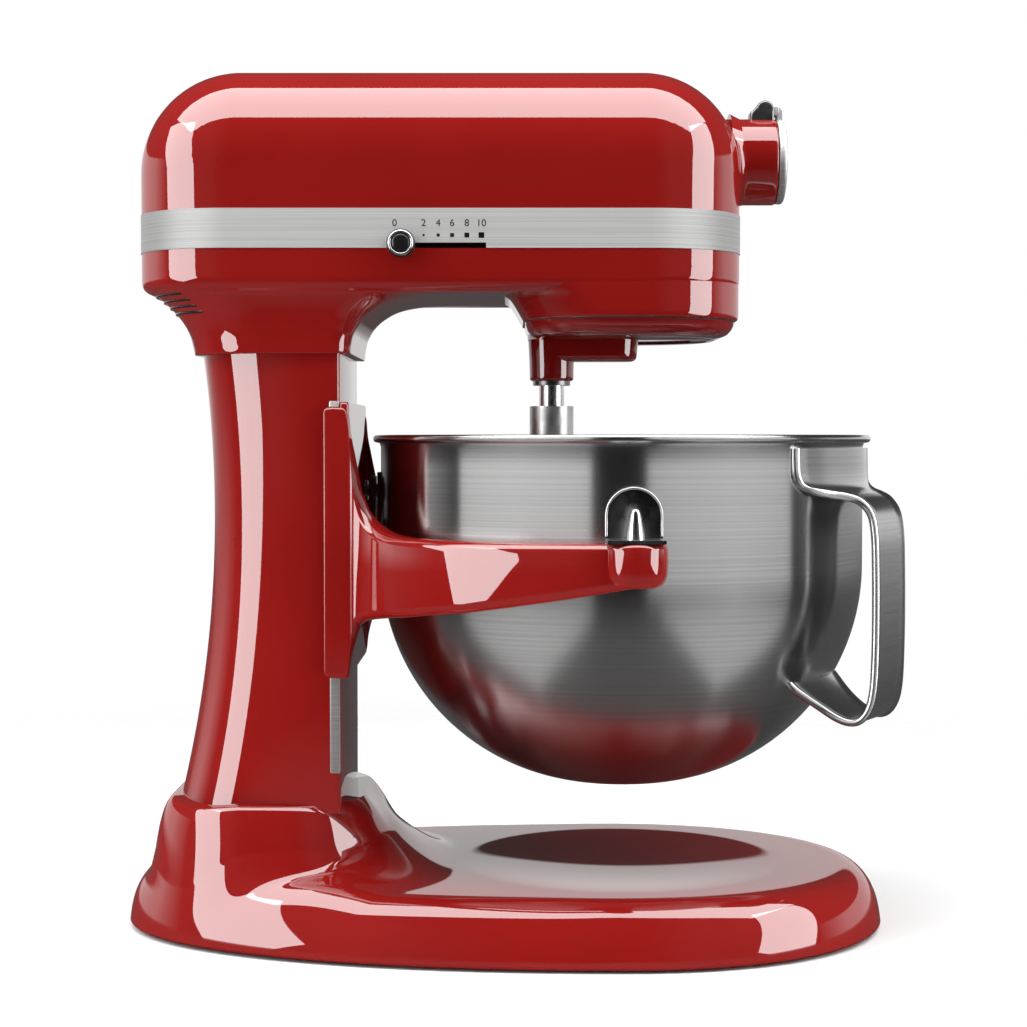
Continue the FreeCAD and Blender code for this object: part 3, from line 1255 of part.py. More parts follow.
def motor_pinion():
    teeth = int(val("motor_pinion_teeth"))
    shape = spur_gear(teeth, val("spur_module * motor_pinion_teeth / 2"), math.pi, val("spur_face"),
                      val("motor_shaft_radius"))
    return keep(feature("motor_pinion", shape, Placement(Vector(val("spur_back"), 0, val("motor_height")),
                                                         TURNS["x"])))


def hub_socket():
    """The turning socket at the bottom of the hub, with a square hole."""
    span = ("nose_root + bush_length + 1", "sleeve_start - 1")
    blank = rod("socket_blank", "x", "socket_radius", span, ("0", "hub_height"))
    square = box("socket_hole", (f"{span[0]} + 4", f"{span[1]} + 1"),
                 ("-socket_square / 2", "socket_square / 2"),
                 ("hub_height - socket_square / 2", "hub_height + socket_square / 2"))
    return keep(cut("hub_socket", blank, square))


def motor_can():
    """The motor's drawn can, with a boss for its front bush."""
    at = ("0", "motor_height")
    seat = "motor_shaft_radius + bush_wall"
    tube = rod("can_wall", "x", "motor_radius", ("motor_back", "motor_front"), at)
    boss = rod("can_boss", "x", f"{seat} + 3", ("motor_front", "motor_front + bush_length"), at)
    room = rod("can_room", "x", "motor_radius - motor_wall", ("motor_back - 1", "motor_front - motor_wall"),
               at)
    bore = rod("can_bore", "x", "motor_shaft_radius + 1", ("motor_front - motor_wall - 1", "motor_front"), at)
    hole = rod("can_seat", "x", seat, ("motor_front", "motor_front + bush_length + 1"), at)
    return keep(cut("motor_can", join("can_blank", tube, boss), room, bore, hole))


def motor_end_cap():
    at = ("0", "motor_height")
    seat = "motor_shaft_radius + bush_wall"
    plate = rod("cap_plate", "x", "motor_radius", ("motor_back - motor_wall", "motor_back"), at)
    boss = rod("cap_boss", "x", f"{seat} + 3", ("motor_back - bush_length", "motor_back"), at)
    bore = rod("cap_seat", "x", seat, ("motor_back - bush_length - 1", "motor_back + 1"), at)
    return keep(cut("motor_end_cap", join("cap_blank", plate, boss), bore))


def motor_magnets():
    """Two magnet shells inside the can, left and right."""
    span = ("core_back - 2", "core_front + 2")
    at = ("0", "motor_height")
    shell = rod("magnet_outer", "x", "motor_radius - motor_wall", span, at)
    room = rod("magnet_inner", "x", "motor_radius - motor_wall - magnet_thick",
               (f"{span[0]} - 1", f"{span[1]} + 1"), at)
    split = box("magnet_split", (f"{span[0]} - 1", f"{span[1]} + 1"), ("-core_radius / 2", "core_radius / 2"),
                ("motor_height - motor_radius", "motor_height + motor_radius"))
    return keep(cut("motor_magnets", shell, room, split))


def armature():
    """The motor's shaft with its wound core."""
    at = ("0", "motor_height")
    pieces = [
        rod("armature_shaft", "x", "motor_shaft_radius",
            ("motor_back - bush_length - fan_width - 4", "spur_back + spur_face"), at),
        rod("armature_core", "x", "core_radius", ("core_back", "core_front"), at),
        rod("armature_winding", "x", "core_radius * 0.75", ("core_back - 5", "core_front + 5"), at),
    ]
    return keep(join("armature", *pieces))


def commutator():
    span = ("core_back - 17", "core_back - 5")
    at = ("0", "motor_height")
    return keep(cut("commutator", rod("commutator_blank", "x", "commutator_radius", span, at),
                    rod("commutator_bore", "x", "motor_shaft_radius", span, at)))


def motor_fan():
    """A hub with straight blades behind the motor."""
    start = "motor_back - bush_length - fan_width - 2"
    span = (start, f"{start} + fan_width")
    at = ("0", "motor_height")
    pieces = [rod("fan_hub", "x", "motor_shaft_radius + 4", span, at),
              rod("fan_disc", "x", "fan_radius", (start, f"{start} + 1.5"), at)]
    for number in range(4):
        blade = box(f"fan_blade_{number}", span, ("-fan_radius", "fan_radius"), ("-0.8", "0.8"))
        blade.Placement = Placement(Vector(), Rotation(Vector(1, 0, 0), 45 * number))
        blade.setExpression("Placement.Base.x", bound(start))
        angle = math.radians(45 * number)
        across, up = math.cos(angle), math.sin(angle)
        blade.setExpression("Placement.Base.y", bound(f"-fan_radius * {across} + 0.8 * {up}"))
        blade.setExpression(
            "Placement.Base.z", bound(f"motor_height - fan_radius * {up} - 0.8 * {across}"))
        pieces.append(blade)
    return keep(cut("motor_fan", join("fan_blank", *pieces),
                    rod("fan_bore", "x", "motor_shaft_radius", span, at)))


def brush_parts():
    """A holder on the end cap and a carbon brush on each side of the commutator."""
    holders, brushes = [], []
    for number, sign in enumerate(("", "-")):
        def across(near, far):
            return (near, far) if sign == "" else (f"-({far})", f"-({near})")

        holders.append(box(f"brush_holder_{number}", ("motor_back", "core_back - 6"),
                           across("commutator_radius + 5", "motor_radius - motor_wall - 4"),
                           ("motor_height - 4", "motor_height + 4")))
        brushes.append(box(f"brush_{number}", ("core_back - 15", "core_back - 7"),
                           across("commutator_radius + seat_gap", "commutator_radius + 5"),
                           ("motor_height - 3", "motor_height + 3")))
    keep(group("brush_holders", holders))
    return keep(group("motor_brushes", brushes))


def motor_cradle():
    """A saddle across the neck's opening that carries the motor."""
    block = box("cradle_block", ("core_back", "core_front"),
                ("-core_half - cradle_seat", "core_half + cradle_seat"),
                ("inner_floor", "motor_height - motor_radius / 2"))
    return keep(cut("motor_cradle", block, rod("cradle_seat", "x", "motor_radius",
                                               ("motor_back", "motor_front"), ("0", "motor_height"))))


# Attachment hub


def hub_sleeve():
    """The lined bore that takes an attachment."""
    at = ("0", "hub_height")
    span = ("sleeve_start", "nose_end")
    return keep(cut("hub_sleeve", rod("sleeve_outer", "x", "hub_bore + sleeve_wall", span, at),
                    rod("sleeve_bore", "x", "hub_bore", span, at),
                    rod("sleeve_hole", "y", "knob_stem_radius + running_gap", ("0", "nose_radius"),
                        ("hub_knob_x", "hub_height"))))


def hinge_block():
    """Two ears and a bridge on top of the nose."""
    high = "hinge_height + knuckle_radius"
    side = "knuckle_half + seat_gap"
    ear = ("hinge_x - knuckle_radius - 4", "hinge_x + knuckle_radius")
    pieces = [
        box("hinge_ear_left", ear, (side, f"{side} + hinge_ear"), ("hub_height", high)),
        box("hinge_ear_right", ear, (f"-({side}) - hinge_ear", f"-({side})"), ("hub_height", high)),
        box("hinge_bridge", (ear[0], f"{ear[0]} + 3"), (f"-({side}) - hinge_ear", f"{side} + hinge_ear"),
            ("hub_height", high)),
    ]
    nose = rod("hinge_nose", "x", "nose_radius", ("nose_root", "nose_end + 1"), ("0", "hub_height"))
    return keep(cut("hinge_block", join("hinge_blank", *pieces), nose,
                    hinge_rod("hinge_bore", "hinge_pin_radius")))


def hinge_rod(name, radius):
    side = "knuckle_half + seat_gap + hinge_ear"
    return rod(name, "y", radius, (f"-({side})", side), ("hinge_x", "hinge_height"))


def hinge_pin():
    return keep(hinge_rod("hinge_pin", "hinge_pin_radius"))


def hub_cover():
    """The hinged lid over the hub's mouth."""
    start = "nose_end + moving_gap"
    face = (start, f"{start} + lid_thick")
    across = ("-knuckle_half", "knuckle_half")
    pieces = [
        rod("lid_disc", "x", "nose_radius - 0.5", face, ("0", "hub_height")),
        rod("lid_knuckle", "y", "knuckle_radius", across, ("hinge_x", "hinge_height")),
        box("lid_arm", ("hinge_x", f"{start} + lid_thick"), across,
            ("hinge_height - 2.5", "hinge_height + 2.5")),
        box("lid_strap", face, across, ("hub_height + nose_radius - 4", "hinge_height + 2.5")),
    ]
    return keep(cut("hub_cover", join("lid_blank", *pieces),
                    hinge_rod("lid_bore", "hinge_pin_radius + running_gap")))


def attachment_knob():
    """The clamping knob on the hub's left side, backed out of the bore."""
    at = ("hub_knob_x", "hub_height")
    stem = rod("knob_stem", "y", "knob_stem_radius", ("hub_bore + seat_gap", "nose_radius + 2"), at)
    grip = rod("knob_grip", "y", "knob_radius", ("nose_radius + 2", "nose_radius + 2 + knob_length"), at)
    return keep(join("attachment_knob", stem, grip))


# Speed control


def speed_knob():
    """A round black knob in front of the trim band."""
    return keep(rod("speed_knob", "y", "speed_knob_radius",
                    ("-head_half - knob_stand - speed_knob_depth", "-head_half - knob_stand"),
                    ("knob_x", "speed_height")))


def speed_knob_ring():
    span = ("-head_half - knob_stand - speed_knob_depth - 1", "-head_half - knob_stand - speed_knob_depth")
    at = ("knob_x", "speed_height")
    return keep(cut("speed_knob_ring", rod("knob_ring_outer", "y", "speed_knob_radius - 0.5", span, at),
                    rod("knob_ring_inner", "y", "speed_knob_radius - 2", span, at)))


def speed_slider():
    """The stem through the slot and the plate that slides inside the head."""
    stem = box("slider_stem", ("knob_x - stem_half", "knob_x + stem_half"),
               ("-head_half - knob_stand", "-slider_face + slider_thick"),
               ("band_bottom + seat_gap", "band_bottom + slot_height - seat_gap"))
    plate = box("slider_plate", ("knob_x - slider_half", "knob_x + slider_half"),
                ("-slider_face", "-slider_face + slider_thick"),
                ("speed_height - slider_half", "speed_height + slider_half"))
    return keep(join("speed_slider", stem, plate))


def speed_controller():
    """The control unit on the head's floor that the slider sets."""
    along = ("knob_x - slider_half - 4", "knob_x + speed_travel + slider_half + 4")
    face = "-slider_face + slider_thick + moving_gap"
    back = f"{face} + controller_depth"
    case = box("controller_case", along, (face, back),
               ("head_floor + floor_round", "speed_height + slider_half"))
    foot = box("controller_foot", along, ("-head_half + floor_round", back),
               ("inner_floor", "head_floor + floor_round"))
    return keep(join("speed_controller", case, foot))


MAKERS = (
    base_casting, rubber_feet, column_casting, column_screws, cord_gland,
    lift_bushes, lift_shaft, lift_crank, crank_pin, lift_lever, lever_grip,
    bowl_support, locating_pins, bowl_latch,
    mixing_bowl, bowl_handle, bowl_side_brackets, bracket_rivets, bowl_rear_bracket,
    lower_housing, upper_housing, trim_band, housing_screws, gearcase_cover, gearcase_gasket, cover_screws,
    bearing_bushes, ring_gear, planetary_carrier, centre_shaft, centre_bevel_gear, bevel_pinion,
    beater_bush, beater_shaft, planet_pinion, beater_pin, flat_beater,
    gear_bracket, lay_shaft, lay_spur_gear, motor_pinion, hub_socket,
    motor_can, motor_end_cap, motor_magnets, armature, commutator, motor_fan, brush_parts, motor_cradle,
    hub_sleeve, hinge_block, hinge_pin, hub_cover, attachment_knob,
    speed_knob, speed_knob_ring, speed_slider, speed_controller,
)
for make in MAKERS:
    make()
doc.recompute()

faults = [item.Label for item in doc.Objects if {"Invalid", "Error"} & set(item.State)]
faults += [
    item.Label for item in nodes
    if item.Shape.isNull() or not item.Shape.isValid() or not item.Shape.Solids
]
if faults:
    raise RuntimeError(f"these pieces failed: {faults}")
os.makedirs("parts", exist_ok=True)
for item in nodes:
    item.Shape.exportStep(f"parts/{item.Label}.step")
    print(item.Label, len(item.Shape.Solids), round(item.Shape.Volume / 1000, 2), "cm3")
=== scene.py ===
# %% [markdown]
# # A bowl-lift stand mixer
#
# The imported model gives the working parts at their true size, one object for each piece, and each piece
# already rides on the body it moves with. This lesson dresses them: it keeps the pieces whose machined shape
# is right, and models the castings, the bowl and the other rounded pieces again as smooth surfaces.
# Loading comes first, because every later step measures against these pieces.

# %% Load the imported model
import math

import bpy
import numpy as np
from mathutils import Matrix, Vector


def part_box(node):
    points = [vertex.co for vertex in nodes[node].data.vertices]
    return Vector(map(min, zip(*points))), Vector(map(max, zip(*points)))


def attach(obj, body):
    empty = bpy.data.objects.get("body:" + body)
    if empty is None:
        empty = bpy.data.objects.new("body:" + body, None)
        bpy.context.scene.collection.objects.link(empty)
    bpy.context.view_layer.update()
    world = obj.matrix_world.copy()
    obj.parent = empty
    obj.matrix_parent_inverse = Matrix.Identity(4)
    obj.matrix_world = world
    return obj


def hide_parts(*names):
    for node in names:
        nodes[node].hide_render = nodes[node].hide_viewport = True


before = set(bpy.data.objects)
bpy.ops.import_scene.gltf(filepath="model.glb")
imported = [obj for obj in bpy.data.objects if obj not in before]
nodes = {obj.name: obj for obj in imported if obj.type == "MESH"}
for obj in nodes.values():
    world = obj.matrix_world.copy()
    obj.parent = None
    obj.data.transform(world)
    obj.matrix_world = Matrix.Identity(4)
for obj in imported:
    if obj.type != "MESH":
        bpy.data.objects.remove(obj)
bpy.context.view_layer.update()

# %% [markdown]
# ## Finishes
#
# Every finish is made of shader nodes alone. A finish in real life is never one even colour: enamel has a
# faint ripple, steel has lines from the brush or the spinning tool, and rubber is dusty. One helper starts a
# material and hands back its shader, and a second adds a noise pattern in the object's own coordinates, so
# that the pattern stays on a piece when the piece moves.

# %% Helpers for materials
def start_finish(name, metallic=0.0):
    """A new material and its main shader, with the metal share set on the shader's own socket."""
    finish = bpy.data.materials.new(name)
    finish.use_nodes = True
    shader = finish.node_tree.nodes["Principled BSDF"]
    shader.inputs["Metallic"].default_value = metallic
    return finish, shader


def wire(tree, *joins):
    """Join output sockets to input sockets, pair by pair."""
    for source, target in joins:
        tree.links.new(source, target)


def pattern(finish, scale, stretch=(1, 1, 1), detail=3, around=None):
    """A noise pattern in object coordinates: stretched along an axis, or turned about Z at around."""
    tree = finish.node_tree
    place = tree.nodes.new("ShaderNodeTexCoord")
    noise = tree.nodes.new("ShaderNodeTexNoise")
    noise.inputs["Scale"].default_value = scale
    noise.inputs["Detail"].default_value = detail
    mapping = tree.nodes.new("ShaderNodeMapping")
    wire(tree, (place.outputs["Object"], mapping.inputs["Vector"]))
    if around is None:
        mapping.inputs["Scale"].default_value = stretch
        wire(tree, (mapping.outputs["Vector"], noise.inputs["Vector"]))
        return noise.outputs["Fac"]
    mapping.inputs["Location"].default_value = (-around[0], -around[1], 0)
    split = tree.nodes.new("ShaderNodeSeparateXYZ")
    flat = tree.nodes.new("ShaderNodeCombineXYZ")
    far = tree.nodes.new("ShaderNodeVectorMath")
    far.operation = "LENGTH"
    ring = tree.nodes.new("ShaderNodeCombineXYZ")
    wire(tree, (mapping.outputs["Vector"], split.inputs["Vector"]),
         (split.outputs["X"], flat.inputs["X"]), (split.outputs["Y"], flat.inputs["Y"]),
         (flat.outputs["Vector"], far.inputs[0]), (far.outputs["Value"], ring.inputs["X"]),
         (split.outputs["Z"], ring.inputs["Z"]), (ring.outputs["Vector"], noise.inputs["Vector"]))
    return noise.outputs["Fac"]


NOISE_LOW, NOISE_HIGH = 0.3, 0.7  # nearly all of a noise pattern lies between these two values


def spread(finish, source, socket, low, high):
    """The pattern spread between two values of a shader socket: numbers, or colours."""
    tree = finish.node_tree
    shader = tree.nodes["Principled BSDF"]
    if isinstance(low, tuple):
        ramp = tree.nodes.new("ShaderNodeValToRGB")
        ramp.color_ramp.interpolation = "EASE"
        for stop, spot, colour in zip(ramp.color_ramp.elements, (NOISE_LOW, NOISE_HIGH), (low, high)):
            stop.position = spot
            stop.color = (*colour, 1)
        wire(tree, (source, ramp.inputs["Fac"]), (ramp.outputs["Color"], shader.inputs[socket]))
        return
    span = tree.nodes.new("ShaderNodeMapRange")
    span.interpolation_type = "SMOOTHSTEP"
    limits = {"From Min": NOISE_LOW, "From Max": NOISE_HIGH, "To Min": low, "To Max": high}
    for name, value in limits.items():
        span.inputs[name].default_value = value
    wire(tree, (source, span.inputs["Value"]), (span.outputs["Result"], shader.inputs[socket]))


def bump(finish, source, strength, distance):
    """The pattern as a relief of that depth in metres."""
    tree = finish.node_tree
    shader = tree.nodes["Principled BSDF"]
    relief = tree.nodes.new("ShaderNodeBump")
    relief.inputs["Strength"].default_value = strength
    relief.inputs["Distance"].default_value = distance
    wire(tree, (source, relief.inputs["Height"]), (relief.outputs["Normal"], shader.inputs["Normal"]))


print("material helpers ready")

# %% [markdown]
# ## The eleven finishes
#
# The castings are zinc under a thick red enamel, baked to a high gloss; its colour is deep and the clear top
# layer gives the hard white reflections. The bowl is spun stainless steel, so its fine lines run round the
# bowl's own axis, while the band's lines run along it. The rest are chrome, cast aluminium, machined steel,
# bronze, gloss black plastic and rubber.

# %% Make the finishes
def red_enamel():
    """A deep red body that mirrors nothing itself, under a clear coat that does, with a faint ripple."""
    finish, shader = start_finish("red_enamel")
    deep, light = (0.235, 0.008, 0.007), (0.26, 0.0098, 0.0084)
    spread(finish, pattern(finish, 9, detail=2), "Base Color", deep, light)
    spread(finish, pattern(finish, 60), "Roughness", 0.16, 0.22)
    shader.inputs["Specular IOR Level"].default_value = 0.0
    shader.inputs["Coat Weight"].default_value = 1.0
    shader.inputs["Coat Roughness"].default_value = 0.025
    shader.inputs["Coat IOR"].default_value = 1.95
    bump(finish, pattern(finish, 420, detail=1), 0.06, 0.00008)
    return finish


SPIN_LINES = 900  # scale of the fine rings that the spinning tool leaves on the bowl


def brushed(name, low, high, rough, stretch, depth, around=None):
    """Steel with fine lines: along an axis, or round an upright one, where it also stretches reflections."""
    finish, shader = start_finish(name, 1.0)
    lines = pattern(finish, SPIN_LINES if around else 1, stretch, 4, around)
    spread(finish, lines, "Base Color", low, high)
    spread(finish, pattern(finish, 14), "Roughness", rough, rough + 0.015)
    bump(finish, lines, 0.35, depth)
    if around:
        tree = finish.node_tree
        place = tree.nodes.new("ShaderNodeTexCoord")
        off = tree.nodes.new("ShaderNodeVectorMath")
        off.operation = "SUBTRACT"
        off.inputs[1].default_value = (*around, 0)
        along = tree.nodes.new("ShaderNodeVectorMath")
        along.operation = "CROSS_PRODUCT"
        along.inputs[0].default_value = (0, 0, 1)
        wire(tree, (place.outputs["Object"], off.inputs[0]), (off.outputs["Vector"], along.inputs[1]),
             (along.outputs["Vector"], shader.inputs["Tangent"]))
        shader.inputs["Anisotropic"].default_value = 0.9
        shader.inputs["Anisotropic Rotation"].default_value = 0.25
    return finish


def smooth_metal(name, low, high, rough, scale):
    """A metal with a faintly uneven colour and polish."""
    finish, _ = start_finish(name, 1.0)
    spread(finish, pattern(finish, scale), "Base Color", low, high)
    spread(finish, pattern(finish, scale * 3), "Roughness", rough, rough * 1.5)
    bump(finish, pattern(finish, scale * 8), 0.05, 0.00005)
    return finish


def plain(name, low, high, rough, scale, grain):
    """A plastic or rubber: dark, with a fine grain."""
    finish, _ = start_finish(name)
    spread(finish, pattern(finish, scale), "Base Color", low, high)
    spread(finish, pattern(finish, scale * 2), "Roughness", rough, rough * 1.35)
    bump(finish, pattern(finish, scale * 20), grain, 0.00006)
    return finish


BOWL_X = 57  # the bowl's and the gearcase's upright axis, in millimetres along the mixer
finishes = {
    "red_enamel": red_enamel(),
    "brushed_trim": brushed("brushed_trim", (0.68, 0.68, 0.67), (0.82, 0.82, 0.81), 0.56,
                            (6, 6, 2600), 0.00002),
    "stainless": brushed("stainless", (0.5, 0.5, 0.5), (0.58, 0.58, 0.575), 0.21,
                         (1, 1, 1), 0.000008, (BOWL_X / 1000, 0.0)),
    "dark_steel": smooth_metal("dark_steel", (0.2, 0.2, 0.205), (0.27, 0.27, 0.275), 0.24, 30),
    "bright_steel": smooth_metal("bright_steel", (0.7, 0.7, 0.71), (0.8, 0.8, 0.81), 0.17, 30),
    "cast_metal": smooth_metal("cast_metal", (0.56, 0.56, 0.57), (0.68, 0.68, 0.69), 0.3, 60),
    "plain_steel": brushed("plain_steel", (0.42, 0.42, 0.44), (0.54, 0.54, 0.55), 0.3,
                           (500, 500, 900), 0.00002),
    "magnet": plain("magnet", (0.05, 0.05, 0.055), (0.09, 0.09, 0.095), 0.55, 80, 0.3),
    "bronze": smooth_metal("bronze", (0.5, 0.31, 0.12), (0.62, 0.42, 0.2), 0.28, 50),
    "black_plastic": plain("black_plastic", (0.008, 0.008, 0.009), (0.016, 0.016, 0.017), 0.16, 40, 0.04),
    "black_rubber": plain("black_rubber", (0.014, 0.014, 0.014), (0.03, 0.03, 0.029), 0.62, 60, 0.3),
}
print(len(finishes), "finishes")

# %% [markdown]
# ## Finishes on the imported pieces
#
# Each imported piece comes with a plain material named for its finish. Putting the new material into the same
# place on the mesh is enough; a plain look-up by name is simpler than assigning faces by hand. The shaft's
# bush is given the darker steel.

# %% Give each imported piece its finish
for node in nodes.values():
    slot = node.data.materials[0].name.split(".")[0]
    node.data.materials[0] = finishes[slot]
nodes["beater_bush"].data.materials[0] = finishes["dark_steel"]
print("finish of the bowl:", nodes["mixing_bowl"].data.materials[0].name)

# %% [markdown]
# ## Surfaces from formulas
#
# The castings have no flat faces to speak of, so they are written as formulas over two parameters: one runs
# round a loop and one runs along the piece. Each formula gives a whole grid of points at once. A grid whose
# loops close on themselves and whose ends are capped is a closed skin, and the sign of its volume tells
# whether its faces look outwards.

# %% Helpers for surfaces
def skin(points, ring=False):
    """Points and faces of a grid (rows, columns, 3) whose columns close round; ring closes the rows too."""
    rows, columns = points.shape[:2]
    row, column = np.meshgrid(np.arange(rows if ring else rows - 1), np.arange(columns), indexing="ij")
    after, beside = (row + 1) % rows, (column + 1) % columns
    here, there = row * columns, after * columns
    quads = np.stack((here + column, here + beside, there + beside, there + column), axis=-1).reshape(-1, 4)
    flat = points.reshape(-1, 3)
    sides = np.concatenate([quads[:, [0, 1, 2]], quads[:, [0, 2, 3]]])
    if ring:
        caps = np.zeros((0, 3), int)
    else:
        around = np.arange(columns)
        beside = (around + 1) % columns
        last = (rows - 1) * columns
        start = np.stack([np.full(columns, rows * columns), beside, around], axis=-1)
        end = np.stack([np.full(columns, rows * columns + 1), last + around, last + beside], axis=-1)
        caps = np.concatenate([start, end])
        flat = np.concatenate([flat, points[[0, -1]].mean(axis=1)])
    sides = np.concatenate([sides, caps])
    volume = np.einsum("ij,ij->", flat[sides[:, 0]], np.cross(flat[sides[:, 1]], flat[sides[:, 2]]))
    if volume < 0:
        quads, caps = quads[:, ::-1], caps[:, ::-1]
    return flat, quads.tolist() + caps.tolist()


print("a grid of 4 by 3 points has", len(skin(np.zeros((4, 3, 3)))[1]), "faces with its two caps")

# %% A piece from skins
def joined(name, skins, body, slot, replaced=(), crease=None):
    """One object from points and faces in millimetres, riding on a body, in the finish of its slot."""
    points, faces, count = [], [], 0
    for flat, polygons in skins:
        faces += [[corner + count for corner in polygon] for polygon in polygons]
        points.append(flat)
        count += len(flat)
    mesh = bpy.data.meshes.new(name)
    mesh.from_pydata(np.concatenate(points) / 1000, [], faces)
    if crease is not None:
        mesh.polygons.foreach_set("use_smooth", np.ones(len(mesh.polygons), bool))
        mesh.set_sharp_from_angle(angle=math.radians(crease))
    mesh.materials.append(finishes[slot])
    made = bpy.data.objects.new(name, mesh)
    bpy.context.scene.collection.objects.link(made)
    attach(made, body)
    if replaced:
        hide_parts(*replaced)
    print(name, len(mesh.vertices), "points")
    return made


def piece(name, grids, body, slot, replaced=(), crease=35):
    """One smooth object from closed grids; a pair of a grid and True is a ring. Sharper bends stay edges."""
    skins = [skin(*grid) if isinstance(grid, tuple) else skin(grid) for grid in grids]
    return joined(name, skins, body, slot, replaced, crease)


print("a piece rides on its body and keeps the finish of its slot")

# %% Curves, turned shapes and rounded loops
def smooth_table(table, count):
    """Rows between the rows of a table, on the smooth cubic curve through them."""
    table = np.asarray(table, float)
    spot = np.linspace(0, len(table) - 1, count)
    cell = np.minimum(spot.astype(int), len(table) - 2)
    t = (spot - cell)[:, None]
    before, here = table[np.maximum(cell - 1, 0)], table[cell]
    after, beyond = table[cell + 1], table[np.minimum(cell + 2, len(table) - 1)]
    return 0.5 * (2 * here + (after - before) * t + (2 * before - 5 * here + 4 * after - beyond) * t ** 2
                  + (3 * here - before - 3 * after + beyond) * t ** 3)


def lathe(profile, centre=(0, 0), axis="z", count=96):
    """A profile of (radius, height) pairs turned round an axis through the centre."""
    profile = np.asarray(profile, float)
    turn = np.linspace(0, 2 * np.pi, count, endpoint=False)
    across = centre[0] + profile[:, :1] * np.cos(turn)
    along = centre[1] + profile[:, :1] * np.sin(turn)
    height = np.repeat(profile[:, 1:2], count, axis=1)
    order = {"z": (across, along, height), "x": (height, across, along), "y": (across, height, along)}[axis]
    return np.stack(order, axis=-1)


def rounded_loops(table, arc=14, side=12):
    """Rounded oblongs from a table of (z, back, front, half width, back radius, front radius)."""
    z, back, front, half, soft_back, soft_front = (np.asarray(table, float)[:, [n]] for n in range(6))
    quarter = np.linspace(0, np.pi / 2, arc)
    run = np.linspace(0, 1, side + 2)[1:-1]

    def corner(x, y, radius, start):
        """A quarter circle about a centre, from a starting angle."""
        return x + radius * np.cos(start + quarter), y + radius * np.sin(start + quarter)

    corners = [
        corner(back + soft_back, soft_back - half, soft_back, np.pi),
        corner(front - soft_front, soft_front - half, soft_front, -np.pi / 2),
        corner(front - soft_front, half - soft_front, soft_front, 0),
        corner(back + soft_back, half - soft_back, soft_back, np.pi / 2),
    ]
    xs, ys = [], []
    for (x, y), (next_x, next_y) in zip(corners, corners[1:] + corners[:1]):
        xs += [x, x[:, -1:] + (next_x[:, :1] - x[:, -1:]) * run]
        ys += [y, y[:, -1:] + (next_y[:, :1] - y[:, -1:]) * run]
    x, y = np.concatenate(xs, axis=1), np.concatenate(ys, axis=1)
    return np.stack([x, y, np.broadcast_to(z, x.shape)], axis=-1)


def power(base, exponent):
    """A power that keeps the sign of its base, for superellipses."""
    return np.sign(base) * np.abs(base) ** exponent


print("surface helpers ready")

# %% [markdown]
# ## Lower half of the head
#
# One casting holds the neck, the floor of the head and the gearcase. Sections of a rounded oblong climb from
# the neck's foot, lean back under the tail and sweep forward along the floor; a second skin carries the round
# gearcase up into the side without a break, as the real casting does.

# %% Lower head
neck_rows = [
    (278.3, -149.0, -72.9, 57.0, 38, 9), (278.9, -149.5, -72.5, 57.5, 38, 9),
    (283.0, -150.4, -72.0, 57.7, 38, 9.5), (287.7, -151.7, -71.0, 58.0, 38.5, 10),
    (291.5, -153.5, -69.2, 58.6, 39, 11), (295.3, -156.0, -66.5, 59.2, 39.5, 13),
    (299.2, -159.3, -62.0, 60.0, 40, 15), (302.9, -163.1, -55.0, 61.0, 41, 18),
    (305.0, -165.5, -46.0, 61.7, 42, 22), (306.0, -167.0, -34.0, 62.2, 42.5, 26),
    (306.5, -168.0, 0.0, 62.4, 43, 40), (306.8, -169.0, 60.0, 62.6, 43, 43),
    (307.2, -170.0, 101.5, 63.0, 43.5, 43.5), (308.2, -172.0, 108.0, 64.2, 44, 44),
    (309.8, -173.5, 111.0, 65.3, 44, 44), (312.0, -174.2, 112.5, 65.9, 44, 44),
    (315.5, -174.3, 112.8, 66.0, 44, 44), (320.0, -174.3, 112.8, 66.0, 44, 44),
    (326.3, -174.3, 112.8, 66.0, 44, 44),
]
case_rows = [
    (294.6, 8.8, 111.2, 64.4, 35, 43), (295.2, 8.4, 112.0, 65.3, 35.5, 43.5),
    (296.4, 7.7, 112.4, 65.7, 36, 44), (299.0, 6.2, 112.5, 65.8, 36, 44),
    (302.0, 4.4, 112.5, 65.8, 36, 44), (305.0, 2.2, 112.5, 65.8, 36, 44),
    (308.0, -2.0, 112.5, 65.8, 36, 44), (314.0, -8.0, 112.5, 65.8, 36, 44),
]
piece("lower_head", [rounded_loops(smooth_table(neck_rows, 110)), rounded_loops(smooth_table(case_rows, 50))],
      "stand", "red_enamel", ["lower_housing"], 50)

# %% [markdown]
# ## Vents
#
# Warm air from the motor leaves through slits under the tail. Cutting them into the casting would need a
# boolean; a thin black bead laid along the casting's own loop is painted shade that stands for the dark
# inside a slit, and keeps the casting whole.

# %% Vents under the tail
def vent_skin(height, reach=17, deep=0.45, half=0.75):
    """An oval bead of painted slit shade on the casting's loop at that height, from the rearmost point as far
    as the reach.
    """
    table = smooth_table(neck_rows, 400)
    row = table[[np.argmin(np.abs(table[:, 0] - height))]]
    loop = rounded_loops(row, 60, 60)[0]
    loop = loop[loop[:, 0] < row[0, 1] + reach]
    loop = loop[np.argsort(loop[:, 1])]
    turn = np.linspace(0, 2 * np.pi, 10, endpoint=False)
    out = np.stack([loop[:, 0] + 110, 1.4 * loop[:, 1]], axis=1)
    out = out / np.linalg.norm(out, axis=1, keepdims=True)
    x = loop[:, :1] + deep * out[:, :1] * np.cos(turn)
    y = loop[:, 1:2] + deep * out[:, 1:] * np.cos(turn)
    return np.stack([x, y, loop[:, 2:] + half * np.sin(turn)], axis=-1)
